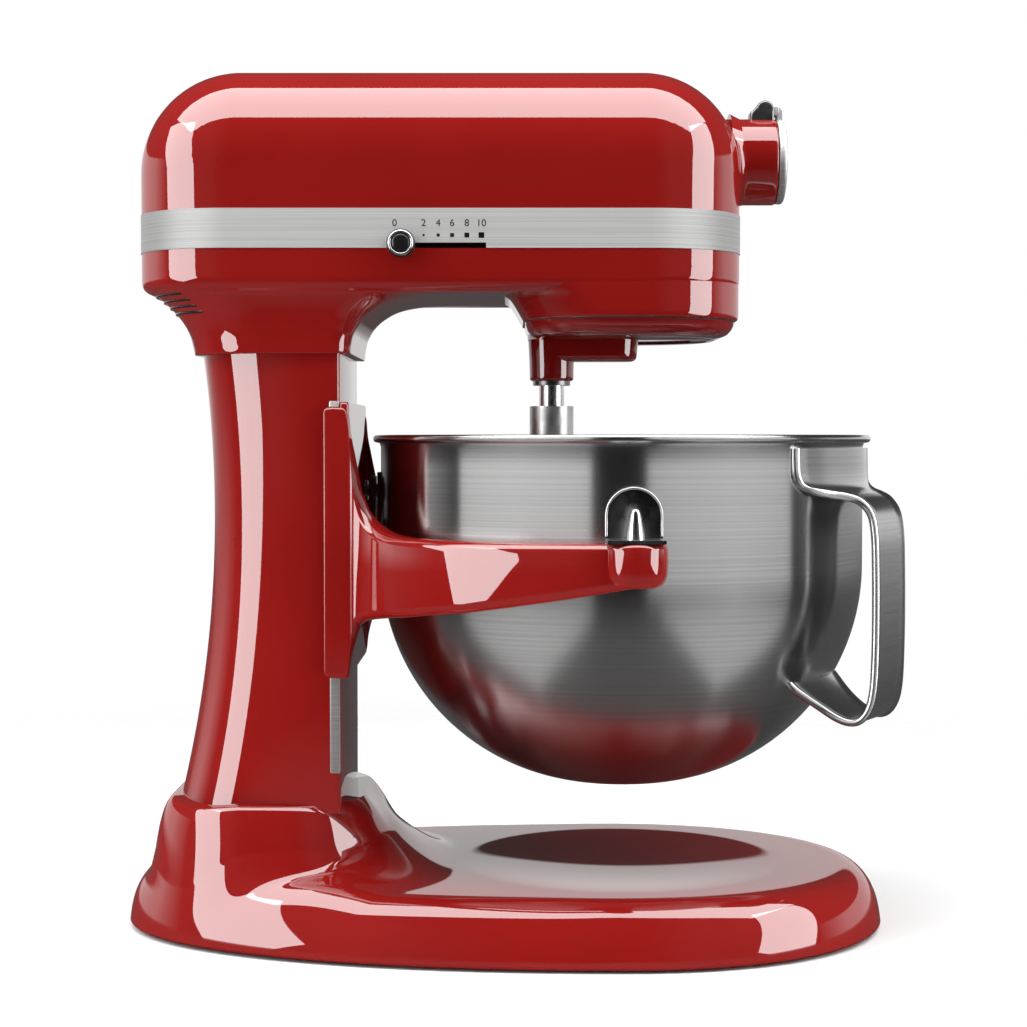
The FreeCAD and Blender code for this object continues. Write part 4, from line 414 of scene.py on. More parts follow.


# The black beads are painted shade: they stand for the shadow inside the slits.
piece("painted_vent_shade", [vent_skin(height) for height in (306.4, 303.6, 300.8, 298.0)], "stand", "black_plastic")

# %% [markdown]
# ## Gearcase cover
#
# A ring-shaped cover closes the gearcase from below, with a thin rubber gasket in the seam. The cover's
# loops change from the case's oblong to a circle round the planetary disc, which a lathe can't do.

# %% Gearcase cover
def cover_skin():
    """Rounded loops from the seam down and in, then a round hole for the disc, back up to the seam."""
    outside = rounded_loops(smooth_table([
        (294.2, 9.6, 110.6, 63.8, 35, 42), (292.0, 10.2, 110.0, 63.3, 35, 42),
        (289.8, 11.2, 108.6, 62.2, 35, 41), (288.0, 13.2, 106.6, 60.4, 34, 40),
        (286.9, 16.2, 103.4, 57.6, 33, 38), (286.6, 19.5, 100.0, 54.4, 32, 36),
    ], 30))
    hole, floor_z = 45.9, 286.7
    bearing = np.arctan2(outside[0, :, 1], outside[0, :, 0] - BOWL_X)
    rim = np.stack([BOWL_X + hole * np.cos(bearing), hole * np.sin(bearing), np.full_like(bearing, floor_z)],
                   axis=-1)
    inside = rim + np.array([[[0, 0, 0]], [[0, 0, 1]], [[0, 0, 7.5]]])
    return np.concatenate([outside, inside])


piece("gearcase_cover_skin", [(cover_skin(), True)], "stand", "red_enamel",
      ["gearcase_cover", "cover_screws"], 40)
gasket_rows = [(294.1, 9.5, 110.7, 63.9, 35, 42), (294.7, 9.5, 110.7, 63.9, 35, 42),
               (294.7, 13.5, 106.7, 59.9, 31, 38), (294.1, 13.5, 106.7, 59.9, 31, 38)]
piece("gasket", [(rounded_loops(gasket_rows), True)], "stand", "black_rubber", ["gearcase_gasket"])

# %% [markdown]
# ## Planetary arm
#
# Under the gearcase a disc turns with an arm on it, and the beater's shaft comes out of the boss at the arm's
# end. The casting has draft and rounded edges, so the boss is a lathe profile and the arm a stack of loops.

# %% Planetary arm
disc = lathe([(0.02, 287.0), (44.0, 287.0), (44.8, 287.4), (45.0, 288.2), (45.0, 293), (0.02, 293)],
             (BOWL_X, 0))
boss = lathe(smooth_table([(0.02, 266.7), (8.0, 266.7), (9.9, 266.9), (10.6, 267.6), (10.8, 268.8),
                           (10.9, 274.0), (11.2, 281.0), (11.6, 288.0)], 44), (23, 0), count=64)
arm_loops = smooth_table([(276.3, 15.0, 61.6, 7.9, 7.8, 7.8), (276.6, 13.6, 63.2, 9.3, 9.2, 9.2),
                          (277.6, 12.6, 64.4, 10.4, 10.3, 10.3), (279.4, 12.1, 65.0, 10.9, 10.8, 10.8),
                          (284.0, 11.8, 65.4, 11.2, 11.1, 11.1), (288.0, 11.5, 65.8, 11.5, 11.4, 11.4)], 30)
piece("planetary_arm", [disc, boss, rounded_loops(arm_loops, 16, 6)], "planetary", "red_enamel",
      ["planetary_carrier"], 45)

# %% [markdown]
# ## Column
#
# The column leans back in a long arc. Its plan is a D: flat in front, where the bowl's carriage slides, and a
# full superellipse behind, so that the highlight runs down it as one clean stripe.

# %% Column
def column_skin(count=90, rows=48):
    """D-shaped loops; the back follows a circle of 570 mm, the sides close to a flat front at -77 mm."""
    arc, arc_x, arc_z = 570, -711.9, 202.5
    start, half, bend = -88.0, 55, 2.7
    z = np.linspace(62, 278.4, rows)[:, None]
    back = arc_x + np.sqrt(arc ** 2 - (z - arc_z) ** 2)
    turn = np.linspace(np.pi / 2, 3 * np.pi / 2, count)
    x = start + (start - back) * power(np.cos(turn), 2 / bend)
    y = np.broadcast_to(half * power(np.sin(turn), 2 / bend), x.shape)
    soft = np.linspace(-np.pi / 2, 0, 8)
    edge = 2
    near_x = np.broadcast_to(-79 + edge * np.cos(soft), (rows, 8))
    near_y = np.broadcast_to(-53 + edge * np.sin(soft), (rows, 8))
    x = np.concatenate([x, near_x, near_x[:, ::-1]], axis=1)
    y = np.concatenate([y, near_y, -near_y[:, ::-1]], axis=1)
    return np.stack([x, y, np.broadcast_to(z, x.shape)], axis=-1)


piece("column", [column_skin()], "stand", "red_enamel", ["column_casting", "lift_bushes"], 40)

# %% [markdown]
# ## Guide strips
#
# Two bright steel strips line the column's front corners, where the carriage slides. They are thin rounded
# bars, so a stack of four rounded loops makes each one.

# %% Guide strips
strip_rows = np.array([(81.2, -81.6, -77.4, 1.1, 0.5, 0.5), (81.8, -82.0, -77.2, 1.3, 0.6, 0.6),
                       (255.4, -82.0, -77.2, 1.3, 0.6, 0.6), (256.0, -81.6, -77.4, 1.1, 0.5, 0.5)])
strips = [rounded_loops(strip_rows, 6, 4) + np.array([0, side * 54.3, 0]) for side in (-1, 1)]
piece("guide_strips", strips, "stand", "brushed_trim")

# %% [markdown]
# ## Base
#
# The base is a wide egg in plan with a soft edge, and the pedestal grows out of it round the foot of the
# column. Sculpting could make it, but a formula stays even: to the height of the edge's curve it adds the
# pedestal's round-topped wall and a flank that falls away from it, in a soft step at the sides and the back
# and in a long ramp towards the front. A shallow dish lies under the bowl.

# %% Base
def egg_outline():
    """The base's plan: two half superellipses, the rear one squarer, that meet at the widest place."""
    turn = np.linspace(-np.pi, np.pi, 6000, endpoint=False)
    front = np.cos(turn) >= 0
    reach = np.where(front, 185.0 - BOWL_X, BOWL_X + 185.0)
    bend = np.where(front, 2.1, 2.2)
    x = BOWL_X + reach * power(np.cos(turn), 2 / bend)
    y = 111.0 * power(np.sin(turn), 2 / bend)
    return x, y


COLLAR = {"middle": -114.0, "long": 46.0, "wide": 57.5, "soft": 36.0}


def collar_outline():
    """The plan of the pedestal's top: a rounded oblong round the column's foot."""
    middle, long, wide, soft = COLLAR.values()
    loop = rounded_loops([(0, middle - long, middle + long, wide, soft, soft)], 60, 60)[0]
    return loop[:, 0], loop[:, 1]


def from_collar(x, y):
    """The distance of a point outside the collar's plan: to its straight core, less the corner's radius."""
    middle, long, wide, soft = COLLAR.values()
    past_x = np.maximum(np.abs(x - middle) - (long - soft), 0)
    past_y = np.maximum(np.abs(y) - (wide - soft), 0)
    return np.maximum(np.hypot(past_x, past_y) - soft, 0)


def by_bearing(outline, bearing, centre):
    """The distance of a finely drawn outline from a centre at each bearing."""
    x, y = outline
    angle = np.arctan2(y, x - centre)
    order = np.argsort(angle)
    return np.interp(bearing, angle[order], np.hypot(x - centre, y)[order], period=2 * np.pi)


def square_on(distance):
    """The cosine between a radial line and the outline's normal, from the change of the distance."""
    turn = 2 * np.pi / len(distance)
    change = (np.roll(distance, -1) - np.roll(distance, 1)) / (2 * turn)
    cosine = distance / np.hypot(distance, change)
    return sum(np.roll(cosine, step) for step in range(-4, 5)) / 9


def edge_height(inset):
    """The height of the base's edge at a distance in from its rim: a superellipse that leans in slightly."""
    low, high, wide, bend, lean = 3, 27, 18, 2.4, 0.1
    z = np.linspace(low, low + high, 500)
    reach = wide * (1 - (1 - ((z - low) / high) ** bend) ** (1 / bend)) + lean * (z - low)
    return np.interp(inset, reach, z)


def base_skin(columns=280, rows=170):
    """Radial lines from the base's edge in to the column's foot, with the height as a formula on each."""
    centre = -100.0
    bearing = np.linspace(-np.pi, np.pi, columns, endpoint=False)
    outer, inner = (by_bearing(plan, bearing, centre) for plan in (egg_outline(), collar_outline()))
    t = np.linspace(0, 1, rows)[:, None]
    run = (outer - inner) * (0.5 - 0.5 * np.cos(np.pi * t))
    x = centre + (outer - run) * np.cos(bearing)
    y = (outer - run) * np.sin(bearing)
    inset, away = run * square_on(outer), from_collar(x, y)
    front, rear = (0.5 + 0.5 * np.cos(bearing)) ** 2.5, (0.5 - 0.5 * np.cos(bearing)) ** 2.5
    tall, ramp_long, dish_wide, dish_deep = 18, 44, 80, 5
    step = tall / (1 + np.exp((away - 9 - 2 * rear) / (1.7 - 0.4 * rear)))
    wall = tall * np.maximum(1 - (away / (5 + 5 * rear + 9 * front)) ** 2, 0)
    ramp = 2 * tall * np.maximum(1 - away / ramp_long, 0) ** 1.6
    lift = (1 - front) * (wall + step) + front * ramp
    height = edge_height(inset) + lift * (1 - np.exp(-(inset / 6) ** 2))
    hollow = np.clip(1 - ((x - BOWL_X) ** 2 + y ** 2) / dish_wide ** 2, 0, 1)
    height = height - dish_deep * hollow ** 1.5
    low = np.array([[16.0, 19], [16.0, 2.5], [14.5, 1], [5.0, 1], [2.0, 1.4], [0.6, 2.2]])
    under_x = centre + (outer - low[:, :1]) * np.cos(bearing)
    under_y = (outer - low[:, :1]) * np.sin(bearing)
    under_z = np.broadcast_to(low[:, 1:], under_x.shape)
    x, y = np.concatenate([under_x, x]), np.concatenate([under_y, y])
    return np.stack([x, y, np.concatenate([under_z, height])], axis=-1)


feet = [(148, 0), (BOWL_X, 85), (BOWL_X, -85), (-131.5, 42.5), (-131.5, -42.5)]
bosses = [lathe([(0.01, 7), (12.5, 7), (13, 7.5), (13, 20)], foot) for foot in feet]
piece("base", [base_skin(), *bosses], "stand", "red_enamel", ["base_casting"], 40)

# %% [markdown]
# ## Bowl
#
# The bowl is spun from sheet steel over a former, and its rim is rolled outwards. Everything on it is round,
# so one profile turned about the bowl's axis gives the outside, the rim and the inside as a single skin.

# %% Bowl
def bowl_profile():
    """Outside from the middle of the bottom to the rolled rim, then back down the inside."""
    sweep = np.linspace(0, 1, 60)[1:, None]
    bend, aside, belt, sheet, bead = 107, 11, 177, 1.2, 1.9
    low = np.arcsin((belt - 72) / bend)
    angle = -low + low * sweep
    outside = np.hstack([aside + bend * np.cos(angle), belt + bend * np.sin(angle)])
    curl = np.linspace(-0.5 * np.pi, np.pi, 16)[:, None]
    rim = np.hstack([119.9 + bead * np.cos(curl), 238.4 + bead * np.sin(curl)])
    angle = -low * sweep
    inside = np.hstack([aside + (bend - sheet) * np.cos(angle), belt + (bend - sheet) * np.sin(angle)])
    start = [(0.02, 72.9), (20, 72.9), (28, 72.4), (31.5, 72)]
    wall = [(118, 200), (118, 225), (118.1, 234.5), (118.7, 236.3)]
    drop = [(116.8, 236), (116.8, 210)]
    return np.vstack([start, outside, wall, rim, drop, [(116.8, 177)], inside, [(0.02, 73.6)]])


bowl_turn = lathe(bowl_profile(), (BOWL_X, 0), count=180)
bowl = piece("bowl", [bowl_turn], "bowl", "stainless", ["mixing_bowl"], 40)

# %% [markdown]
# ## Handle
#
# The handle is one strip of the same steel: it wraps the wall at the top, leaves it as a strap with rolled
# edges, and comes back to the wall below, wider again where it is welded on. A curve with a bevel would keep
# one width, so each row of the table gives a place on the path, half the width, and how closely the strap
# wraps the wall there.

# %% Handle
def handle_skin(rows=150):
    """A strap swept along a curve in the plane of its bearing; its section is a flat with rolled edges."""
    path = smooth_table([
        (118.7, 234.0, 47, 1.0), (118.8, 228.0, 47, 1.0), (119.0, 221.5, 46.5, 1.0), (119.6, 217.0, 44, 1.0),
        (121.0, 214.4, 38, 0.9), (123.5, 213.0, 31, 0.7), (127.5, 211.8, 25, 0.4), (132.0, 209.4, 21.5, 0.15),
        (136.0, 203.6, 20, 0), (137.7, 194.0, 19.6, 0), (138.2, 180.0, 19.5, 0), (138.4, 160.0, 19.5, 0),
        (138.2, 140.0, 19.5, 0), (137.4, 124.0, 19.7, 0), (135.4, 115.0, 20, 0), (131.4, 109.6, 20.3, 0),
        (126.4, 108.3, 20.8, 0.05), (120.4, 110.2, 21.5, 0.15), (114.5, 114.2, 23, 0.35),
        (109.5, 118.6, 26, 0.6), (106.0, 122.4, 29, 0.8), (103.6, 125.4, 30, 0.9),
    ], rows)
    spot, half, wrap = path[:, :2], path[:, 2:3], path[:, 3:4]
    ahead = np.gradient(spot, axis=0)
    ahead = ahead / np.linalg.norm(ahead, axis=1, keepdims=True)
    out = np.stack([-ahead[:, 1], ahead[:, 0]], axis=1)
    roll = np.linspace(-0.7 * np.pi, 0.7 * np.pi, 12)
    flat = np.linspace(-1, 1, 15)[1:-1]
    hem, sheet, wall = 1.9, 0.9, 118.7
    far_across, far_out = hem * np.cos(roll), hem * np.sin(roll)
    middle = flat[None] * (half - 2.6)
    across = np.concatenate([np.broadcast_to(half - hem + far_across, (rows, 12)), -middle,
                             np.broadcast_to(hem - half - far_across, (rows, 12)), middle], axis=1)
    thick = np.concatenate([far_out, np.full(13, sheet), -far_out, np.full(13, -sheet)])[None]
    sunk = np.sqrt(np.maximum(wall ** 2 - across ** 2, 0)) - wall
    radius = spot[:, :1] + out[:, :1] * thick + sunk * wrap
    height = spot[:, 1:] + out[:, 1:] * thick
    turn = math.radians(-29)
    x = BOWL_X + radius * math.cos(turn) - across * math.sin(turn)
    y = radius * math.sin(turn) + across * math.cos(turn)
    return np.stack([x, y, height], axis=-1)


handle = piece("handle", [handle_skin()], "bowl", "stainless", ["bowl_handle"], 50)

# %% [markdown]
# ## Bowl arms
#
# The carriage runs on the column's front and carries two arms that follow the bowl round. Each arm tapers
# from its root to a round end with the pin that the bowl hangs on; the end is cut flat towards the bowl. The
# arm is a rounded section carried along its plan, because an extruded outline would have no taper.

# %% Arms and carriage
ARM = smooth_table([
    (-84.4, 59.4, 2.6, 128.6, 251.4), (-83.8, 60.2, 4.6, 127.2, 252.8), (-81.0, 60.4, 4.8, 126.5, 253.4),
    (-77.0, 60.4, 4.9, 126.3, 253.4), (-74.2, 60.5, 5.2, 126.8, 252.6), (-72.8, 60.7, 5.6, 130.0, 247.0),
    (-71.8, 60.9, 6.2, 141.0, 233.0), (-70.8, 61.4, 7.2, 149.0, 220.0), (-69.0, 62.6, 8.6, 152.6, 210.0),
    (-66.0, 65.3, 10.3, 154.0, 202.4), (-62.0, 70.0, 11.8, 155.0, 197.6), (-57.0, 77.4, 12.8, 156.0, 195.0),
    (-50.0, 87.1, 13.3, 157.0, 193.8), (-38.0, 99.8, 13.5, 158.8, 193.3), (-22.0, 113.3, 13.5, 161.0, 193.2),
    (-4.0, 123.8, 13.5, 163.8, 193.2), (14.0, 131.2, 13.5, 166.7, 193.2), (32.0, 135.7, 13.5, 169.7, 193.2),
    (46.0, 137.6, 13.5, 172.0, 193.2), (57.0, 138.0, 13.5, 173.8, 193.2),
], 150)


def arm_skin(side):
    """A rounded section along the plan of the arm's outer face: (x, y, thickness, bottom, top) along it."""
    ahead = np.gradient(ARM[:, :2], axis=0)
    ahead = ahead / np.linalg.norm(ahead, axis=1, keepdims=True)
    out_x, out_y = -ahead[:, 1:], ahead[:, :1]
    thick, bottom, top = (ARM[:, [n]] for n in (2, 3, 4))
    soft = np.minimum(4.6, 0.48 * thick)
    quarter = np.linspace(0, np.pi / 2, 8)
    corners = [(-soft, top - soft, 0), (soft - thick, top - soft, np.pi / 2),
               (soft - thick, bottom + soft, np.pi), (-soft, bottom + soft, 1.5 * np.pi)]
    across = np.concatenate([o + soft * np.cos(start + quarter) for o, _, start in corners], axis=1)
    z = np.concatenate([h + soft * np.sin(start + quarter) for _, h, start in corners], axis=1)
    x = ARM[:, :1] + out_x * across
    y = side * (ARM[:, 1:2] + out_y * across)
    return np.stack([x, y, z], axis=-1)


tip_profile = [(0.02, 173.8), (8.5, 173.9), (11.8, 175.2), (13.6, 178.4), (14.2, 182.5), (14.2, 189.5),
               (13.8, 191.8), (12.2, 193.2), (8, 193.4), (0.02, 193.4)]
PIN_Y, BOWL_SIDE_Y = 130, 121.2
tip = lathe(smooth_table(tip_profile, 50), (BOWL_X, PIN_Y), count=64)
tip[..., 1] = np.maximum(tip[..., 1], BOWL_SIDE_Y)
tips = [tip * [1, side, 1] for side in (-1, 1)]
plate_edge = [(126.5, 1.2), (127, 0.4), (128, 0), (254, 0), (255, 0.4), (255.5, 1.2)]
plate_rows = [(z, -76.4, -72.6 - 0.3 * inset, 59.8 - inset, 0.6, 1.4) for z, inset in plate_edge]
plate = rounded_loops(plate_rows, 8, 10)
piece("bowl_arms", [arm_skin(-1), arm_skin(1), *tips, plate], "carriage", "red_enamel",
      ["bowl_support"], 45)
pin_profile = smooth_table([(0.02, 188), (4.3, 188), (4.3, 194.6), (4.1, 195.2), (3.9, 197), (3.2, 201),
                            (2.5, 205), (1.9, 207), (1.2, 207.9), (0.02, 208.2)], 44)
pins = [lathe(pin_profile, (BOWL_X, side * PIN_Y), count=40) for side in (-1, 1)]
piece("arm_pins", pins, "carriage", "bright_steel", ["locating_pins"], 50)

# %% [markdown]
# ## Bracket rims
#
# The plates that hang the bowl on its pins are pressed from sheet, and their arched edge is rolled. A thin
# bead along the arch gives that edge, and its bright steel is a painted highlight along it. Its place is
# measured from the imported rivets.

# %% Rims of the bowl's side brackets
def bracket_rim(side):
    """A thin round bead along an arch: up one straight side, over a half circle and down the other."""
    face = -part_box("bracket_rivets")[0][1] * 1000 - 1.0
    foot, spring, half, bead = 195.8, 204.6, 12.2, 0.6
    rise, over = np.linspace(foot, spring, 8), np.linspace(np.pi, 0, 40)[1:-1]
    x = np.concatenate([np.full(8, -half), half * np.cos(over), np.full(8, half)])[:, None]
    z = np.concatenate([rise, spring + half * np.sin(over), rise[::-1]])[:, None]
    turn = np.linspace(0, 2 * np.pi, 10, endpoint=False)
    out_x, out_z = x / half, np.maximum(z - spring, 0) / half
    grid_x = BOWL_X + x + bead * np.cos(turn) * out_x
    grid_y = side * (face + bead * np.sin(turn)) + 0 * x
    return np.stack([grid_x, grid_y, z + bead * np.cos(turn) * out_z], axis=-1)


# The beads' bright steel paints the highlight along the plates' rolled edges.
piece("painted_bracket_rim_highlight", [bracket_rim(-1), bracket_rim(1)], "bowl", "bright_steel", (), 60)

# %% [markdown]
# ## Speed knob
#
# The lever ends in a small black knob with a bright ring let into its face. Both are round, so a profile
# turned about the knob's own axis makes each of them.

# %% Knob
KNOB = (-47.4, 327.9)
knob_profile = smooth_table([
    (0.02, -67.6), (4.5, -67.6), (6.1, -67.9), (6.6, -69.2), (6.6, -72.0), (6.6, -74.0), (6.3, -75.0),
    (5.8, -75.3), (5.0, -75.1), (4.4, -75.4), (3.9, -76.1), (2.6, -76.6), (0.02, -76.8),
], 70)
piece("knob", [lathe(knob_profile, KNOB, "y", 64)], "speed_lever", "black_plastic", ["speed_knob"], 50)
ring_turn = np.linspace(0, 2 * np.pi, 20, endpoint=False)
ring_profile = np.column_stack([5.2 + 0.72 * np.cos(ring_turn), -75.5 + 0.8 * np.sin(ring_turn)])
piece("knob_ring", [(lathe(ring_profile, KNOB, "y", 72), True)], "speed_lever", "bright_steel",
      ["speed_knob_ring"], 60)

# %% [markdown]
# ## Scale
#
# Beside the knob the band carries plain numbers, and squares that grow with the speed. They are printed on
# the real band, so here they are thin raised marks: the numbers come from Blender's own font, turned into a
# mesh and stood up against the band.

# %% Scale
def number_mesh(text, size):
    """The corners and faces of a number in Blender's font, in millimetres, centred on its own middle."""
    letters = bpy.data.curves.new("number", "FONT")
    letters.body = text
    letters.size = size
    letters.align_x = "CENTER"
    letters.extrude = 0.04
    holder = bpy.data.objects.new("number", letters)
    solid = bpy.data.meshes.new_from_object(holder)
    corners = np.empty(len(solid.vertices) * 3)
    solid.vertices.foreach_get("co", corners)
    faces = [tuple(polygon.vertices) for polygon in solid.polygons]
    bpy.data.objects.remove(holder)
    bpy.data.meshes.remove(solid)
    bpy.data.curves.remove(letters)
    return corners.reshape(-1, 3), faces


def on_band(corners, x, z, band_y=-66.33):
    """Flat marks stood up against the band: their second axis becomes height, their third points outwards."""
    return np.column_stack([x + corners[:, 0], band_y - corners[:, 2], z + corners[:, 1]])


marks = []
places = {"0": -50.6, "2": -37.2, "4": -30.5, "6": -24.1, "8": -17.3, "10": -10.6}
for text, x in places.items():
    corners, polygons = number_mesh(text, 4.6)
    marks.append((on_band(corners, x, 336.3), polygons))
for half, x in zip((0.5, 0.7, 0.9, 1.1, 1.3), list(places.values())[1:]):
    square = rounded_loops([(z, -half, half, half, 0.2, 0.2) for z in (-0.04, 0.04)], 4, 2)
    corners, polygons = skin(square)
    marks.append((on_band(corners, x, 332.2), polygons))
joined("speed_scale", marks, "stand", "black_plastic")

# %% [markdown]
# ## Nose of the head
#
# The hub's nose grows out of the head with a small hollow fillet. The fillet's first loop lies on the head's
# own curve, so it reaches further back at the top, where the head is already turning over, than at the sides.

# %% Nose
HUB_Z = 374.0


def nose_skin(count=120):
    """Loops round the hub's axis: a quarter-round fillet off the head, the nose, its mouth and its bore."""
    turn = np.linspace(0, 2 * np.pi, count, endpoint=False)
    fillet, radius, front, bore = 5.0, 20.9, 131.2, 15.05
    head_x, head_y, head_z, head_soft = 68.5, 22, 369.4, 44
    aside = np.maximum(np.abs((radius + fillet) * np.cos(turn)) - head_y, 0)
    above = np.maximum(HUB_Z + (radius + fillet) * np.sin(turn) - head_z, 0)
    start = head_x + np.sqrt(head_soft ** 2 - above ** 2 - aside ** 2)
    bend = np.linspace(0, np.pi / 2, 12)[:, None]
    share = np.linspace(0, 1, 9)[1:, None]
    lip = np.linspace(0, np.pi / 2, 6)[1:, None]
    along = [start + fillet * (1 - np.cos(bend)), (start + fillet) * (1 - share) + front * share,
             front + np.sin(lip) + 0 * turn, np.array([[132.2], [131.8], [112.0], [92.0]]) + 0 * turn]
    out = [radius + fillet * (1 - np.sin(bend)), radius + 0 * share, radius - 1 + np.cos(lip),
           np.array([[16.0], [bore], [bore], [bore]])]
    x, out = np.concatenate(along), np.concatenate(out)
    return np.stack([x, out * np.cos(turn), HUB_Z + out * np.sin(turn)], axis=-1)


piece("nose", [(nose_skin(), True)], "stand", "red_enamel", (), 50)

# %% [markdown]
# ## Hub lid and its hinge
#
# A round steel lid covers the hub's mouth and swings up on a hinge that stands on the nose. The ears of the
# hinge are small castings, so they are round knuckles on soft-edged feet, and the lid's knuckle sits between
# them on the same pin.

# %% Hinge and lid
HINGE = (127.2, 399.0)
ear_profile = smooth_table([(0.02, 3.5), (3.6, 3.5), (4.3, 3.8), (4.5, 4.6), (4.4, 5.6), (3.8, 6.3),
                            (2.4, 6.5), (0.02, 6.5)], 40)
ears = [lathe(ear_profile * [1, side], HINGE, "y", 48) for side in (-1, 1)]
foot_rows = smooth_table([(388, 119.6, 131.6, 1.5, 1.4, 1.4), (396, 119.8, 131.6, 1.5, 1.4, 1.4),
                          (399, 121.4, 131.4, 1.5, 1.4, 1.4), (401, 123.6, 130.4, 1.2, 1.1, 1.1)], 20)
ear_feet = [rounded_loops(foot_rows, 6, 4) + np.array([0, 5.0 * side, 0]) for side in (-1, 1)]
bridge_rows = smooth_table([(388, 119.7, 122.6, 6.4, 1.4, 1.4), (396.5, 119.8, 122.6, 6.4, 1.4, 1.4),
                            (398.2, 120.3, 122.2, 6.0, 0.9, 0.9)], 14)
piece("hinge_ears", [*ears, *ear_feet, rounded_loops(bridge_rows, 6, 6)], "stand", "dark_steel",
      ["hinge_block"], 50)
lid_profile = smooth_table([(0.02, 132.7), (18.6, 132.7), (20.0, 133.0), (20.4, 134.2), (20.2, 135.7),
                            (19.2, 136.5), (17.4, 136.6), (15.6, 136.0), (13.0, 135.8), (0.02, 136.2)], 60)
strap_rows = smooth_table([(386, 132.8, 136.6, 3.2, 0.9, 0.9), (397, 132.8, 136.6, 3.2, 0.9, 0.9),
                           (400, 132.8, 136.0, 3.1, 0.9, 0.9), (401.4, 132.8, 134.4, 2.8, 0.7, 0.7)], 24)
link_rows = smooth_table([(396.5, 127.2, 134.0, 2.8, 0.9, 0.9), (397.2, 126.4, 134.6, 3.2, 0.9, 0.9),
                          (400.6, 126.0, 134.6, 3.2, 0.9, 0.9), (401.5, 126.8, 134.0, 2.8, 0.9, 0.9)], 16)
knuckle_profile = smooth_table([(0.02, -3.2), (3.0, -3.2), (3.4, -2.8), (3.4, 2.8), (3.0, 3.2),
                                (0.02, 3.2)], 30)
knuckle = lathe(knuckle_profile, HINGE, "y", 40)
piece("hub_lid", [lathe(lid_profile, (0, HUB_Z), "x", 96), rounded_loops(strap_rows, 6, 4),
                  rounded_loops(link_rows, 6, 4), knuckle], "lid", "brushed_trim", ["hub_cover"], 50)

# %% [markdown]
# ## Camera
#
# The mixer is seen square from one side, from about a metre away at the height of the bowl's rim. A long lens
# keeps the perspective calm, and the slight tilt down sets how much of the base's top shows.

# %% Camera
camera = bpy.data.objects.new("camera", bpy.data.cameras.new("camera"))
bpy.context.scene.collection.objects.link(camera)
camera.location = (0.0042, -1.04, 0.2387)
camera.rotation_euler = (math.radians(87.95), 0, 0)
camera.data.lens = 73.8
camera.data.sensor_width = 36
bpy.context.scene.camera = camera
print("camera at", tuple(camera.location))

# %% [markdown]
# ## Soft boxes
#
# A product picture of a glossy thing is a picture of what it reflects. Two tall soft boxes stand beside the
# mixer and a wide one hangs over it; they draw the long white highlights along the shoulders of the head,
# the column and the base. Area lamps give the straight edges that those highlights have, and the two tall
# ones lean so that their reflections line up with the top one's.

# %% Soft boxes
def soft_box(name, place, aim, width, height, radiance, lean=0):
    """A flat, even lamp of that size in metres that faces a point; lean turns it about its own facing."""
    lamp = bpy.data.lights.new(name, "AREA")
    lamp.shape = "RECTANGLE"
    lamp.size = width
    lamp.size_y = height
    lamp.energy = radiance * math.pi * width * height
    box = bpy.data.objects.new(name, lamp)
    bpy.context.scene.collection.objects.link(box)
    box.location = place
    away = np.array(place) - np.array(aim)
    away = away / np.linalg.norm(away)
    side = np.cross((0, 0, 1) if abs(away[2]) < 0.95 else (0, 1, 0), away)
    side = side / np.linalg.norm(side)
    up = np.cross(away, side)
    cosine, sine = math.cos(math.radians(lean)), math.sin(math.radians(lean))
    turn = np.stack([cosine * side + sine * up, cosine * up - sine * side, away], axis=1)
    box.rotation_mode = "QUATERNION"
    box.rotation_quaternion = Matrix(turn.tolist()).to_quaternion()
    box.visible_camera = False
    return box


GLOW = 4.7
left_box = soft_box("left_box", (-1.6, -0.80, 0.8), (0, -0.80, 0.8), 1.24, 2.1, GLOW, 30.6)
right_box = soft_box("right_box", (1.6, -0.59, 0.8), (0, -0.59, 0.8), 1.0, 1.9, GLOW, -18)
soft_box("top_box", (0.0, -0.33, 1.6), (0.0, -0.33, 0), 3.2, 1.18, GLOW)
print("three soft boxes")

# %% [markdown]
# ## Cards for the bowl
#
# Steel shows every light as a bright band and every gap as a black one. A photographer stands pale cards
# beside a bowl, so that it has broad soft sides round a dark middle. Light linking lets these cards light the
# steel alone, and keeps the two tall boxes off the bowl and the band, so that the enamel isn't changed.

# %% Cards for the bowl
def light_only(lamp, objects, state="INCLUDE"):
    """Let a lamp light those objects alone, or, with EXCLUDE, all but those."""
    group = bpy.data.collections.new(lamp.name + "_targets")
    for thing in objects:
        group.objects.link(thing)
    for entry in group.collection_objects:
        entry.light_linking.link_state = state
    lamp.light_linking.receiver_collection = group


steel = [bowl, handle, nodes["trim_band"]]
cards = [
    soft_box("left_card", (-0.905, -0.895, 0.8), (-0.145, -0.245, 0.8), 1.66, 1.6, 1.0),
    soft_box("right_card", (0.930, -0.915, 0.8), (0.210, -0.215, 0.8), 1.80, 1.6, 0.85),
    soft_box("left_floor_card", (-0.31, -0.34, 0.003), (-0.31, -0.34, 1), 0.5, 0.42, 0.5),
    soft_box("right_floor_card", (0.43, -0.34, 0.003), (0.43, -0.34, 1), 0.5, 0.42, 0.5),
]
for card in cards:
    light_only(card, steel)
for box in (left_box, right_box):
    light_only(box, [bowl, nodes["trim_band"]], "EXCLUDE")
print(len(cards), "cards for the bowl, its handle and the band")

# %% [markdown]
# ## Room
#
# To the camera the room is plain white. What the mixer mirrors is a studio: a white backdrop behind it up to
# a low horizon, and dimness above and on the camera's side, which is why the enamel stays deep red between
# its highlights. The Light Path node tells the two apart.

# %% Room
room = bpy.data.worlds.new("room")
bpy.context.scene.world = room
room.use_nodes = True
tree = room.node_tree
backdrop = tree.nodes["Background"]
coords = tree.nodes.new("ShaderNodeTexCoord")
split = tree.nodes.new("ShaderNodeSeparateXYZ")
tree.links.new(coords.outputs["Generated"], split.inputs["Vector"])


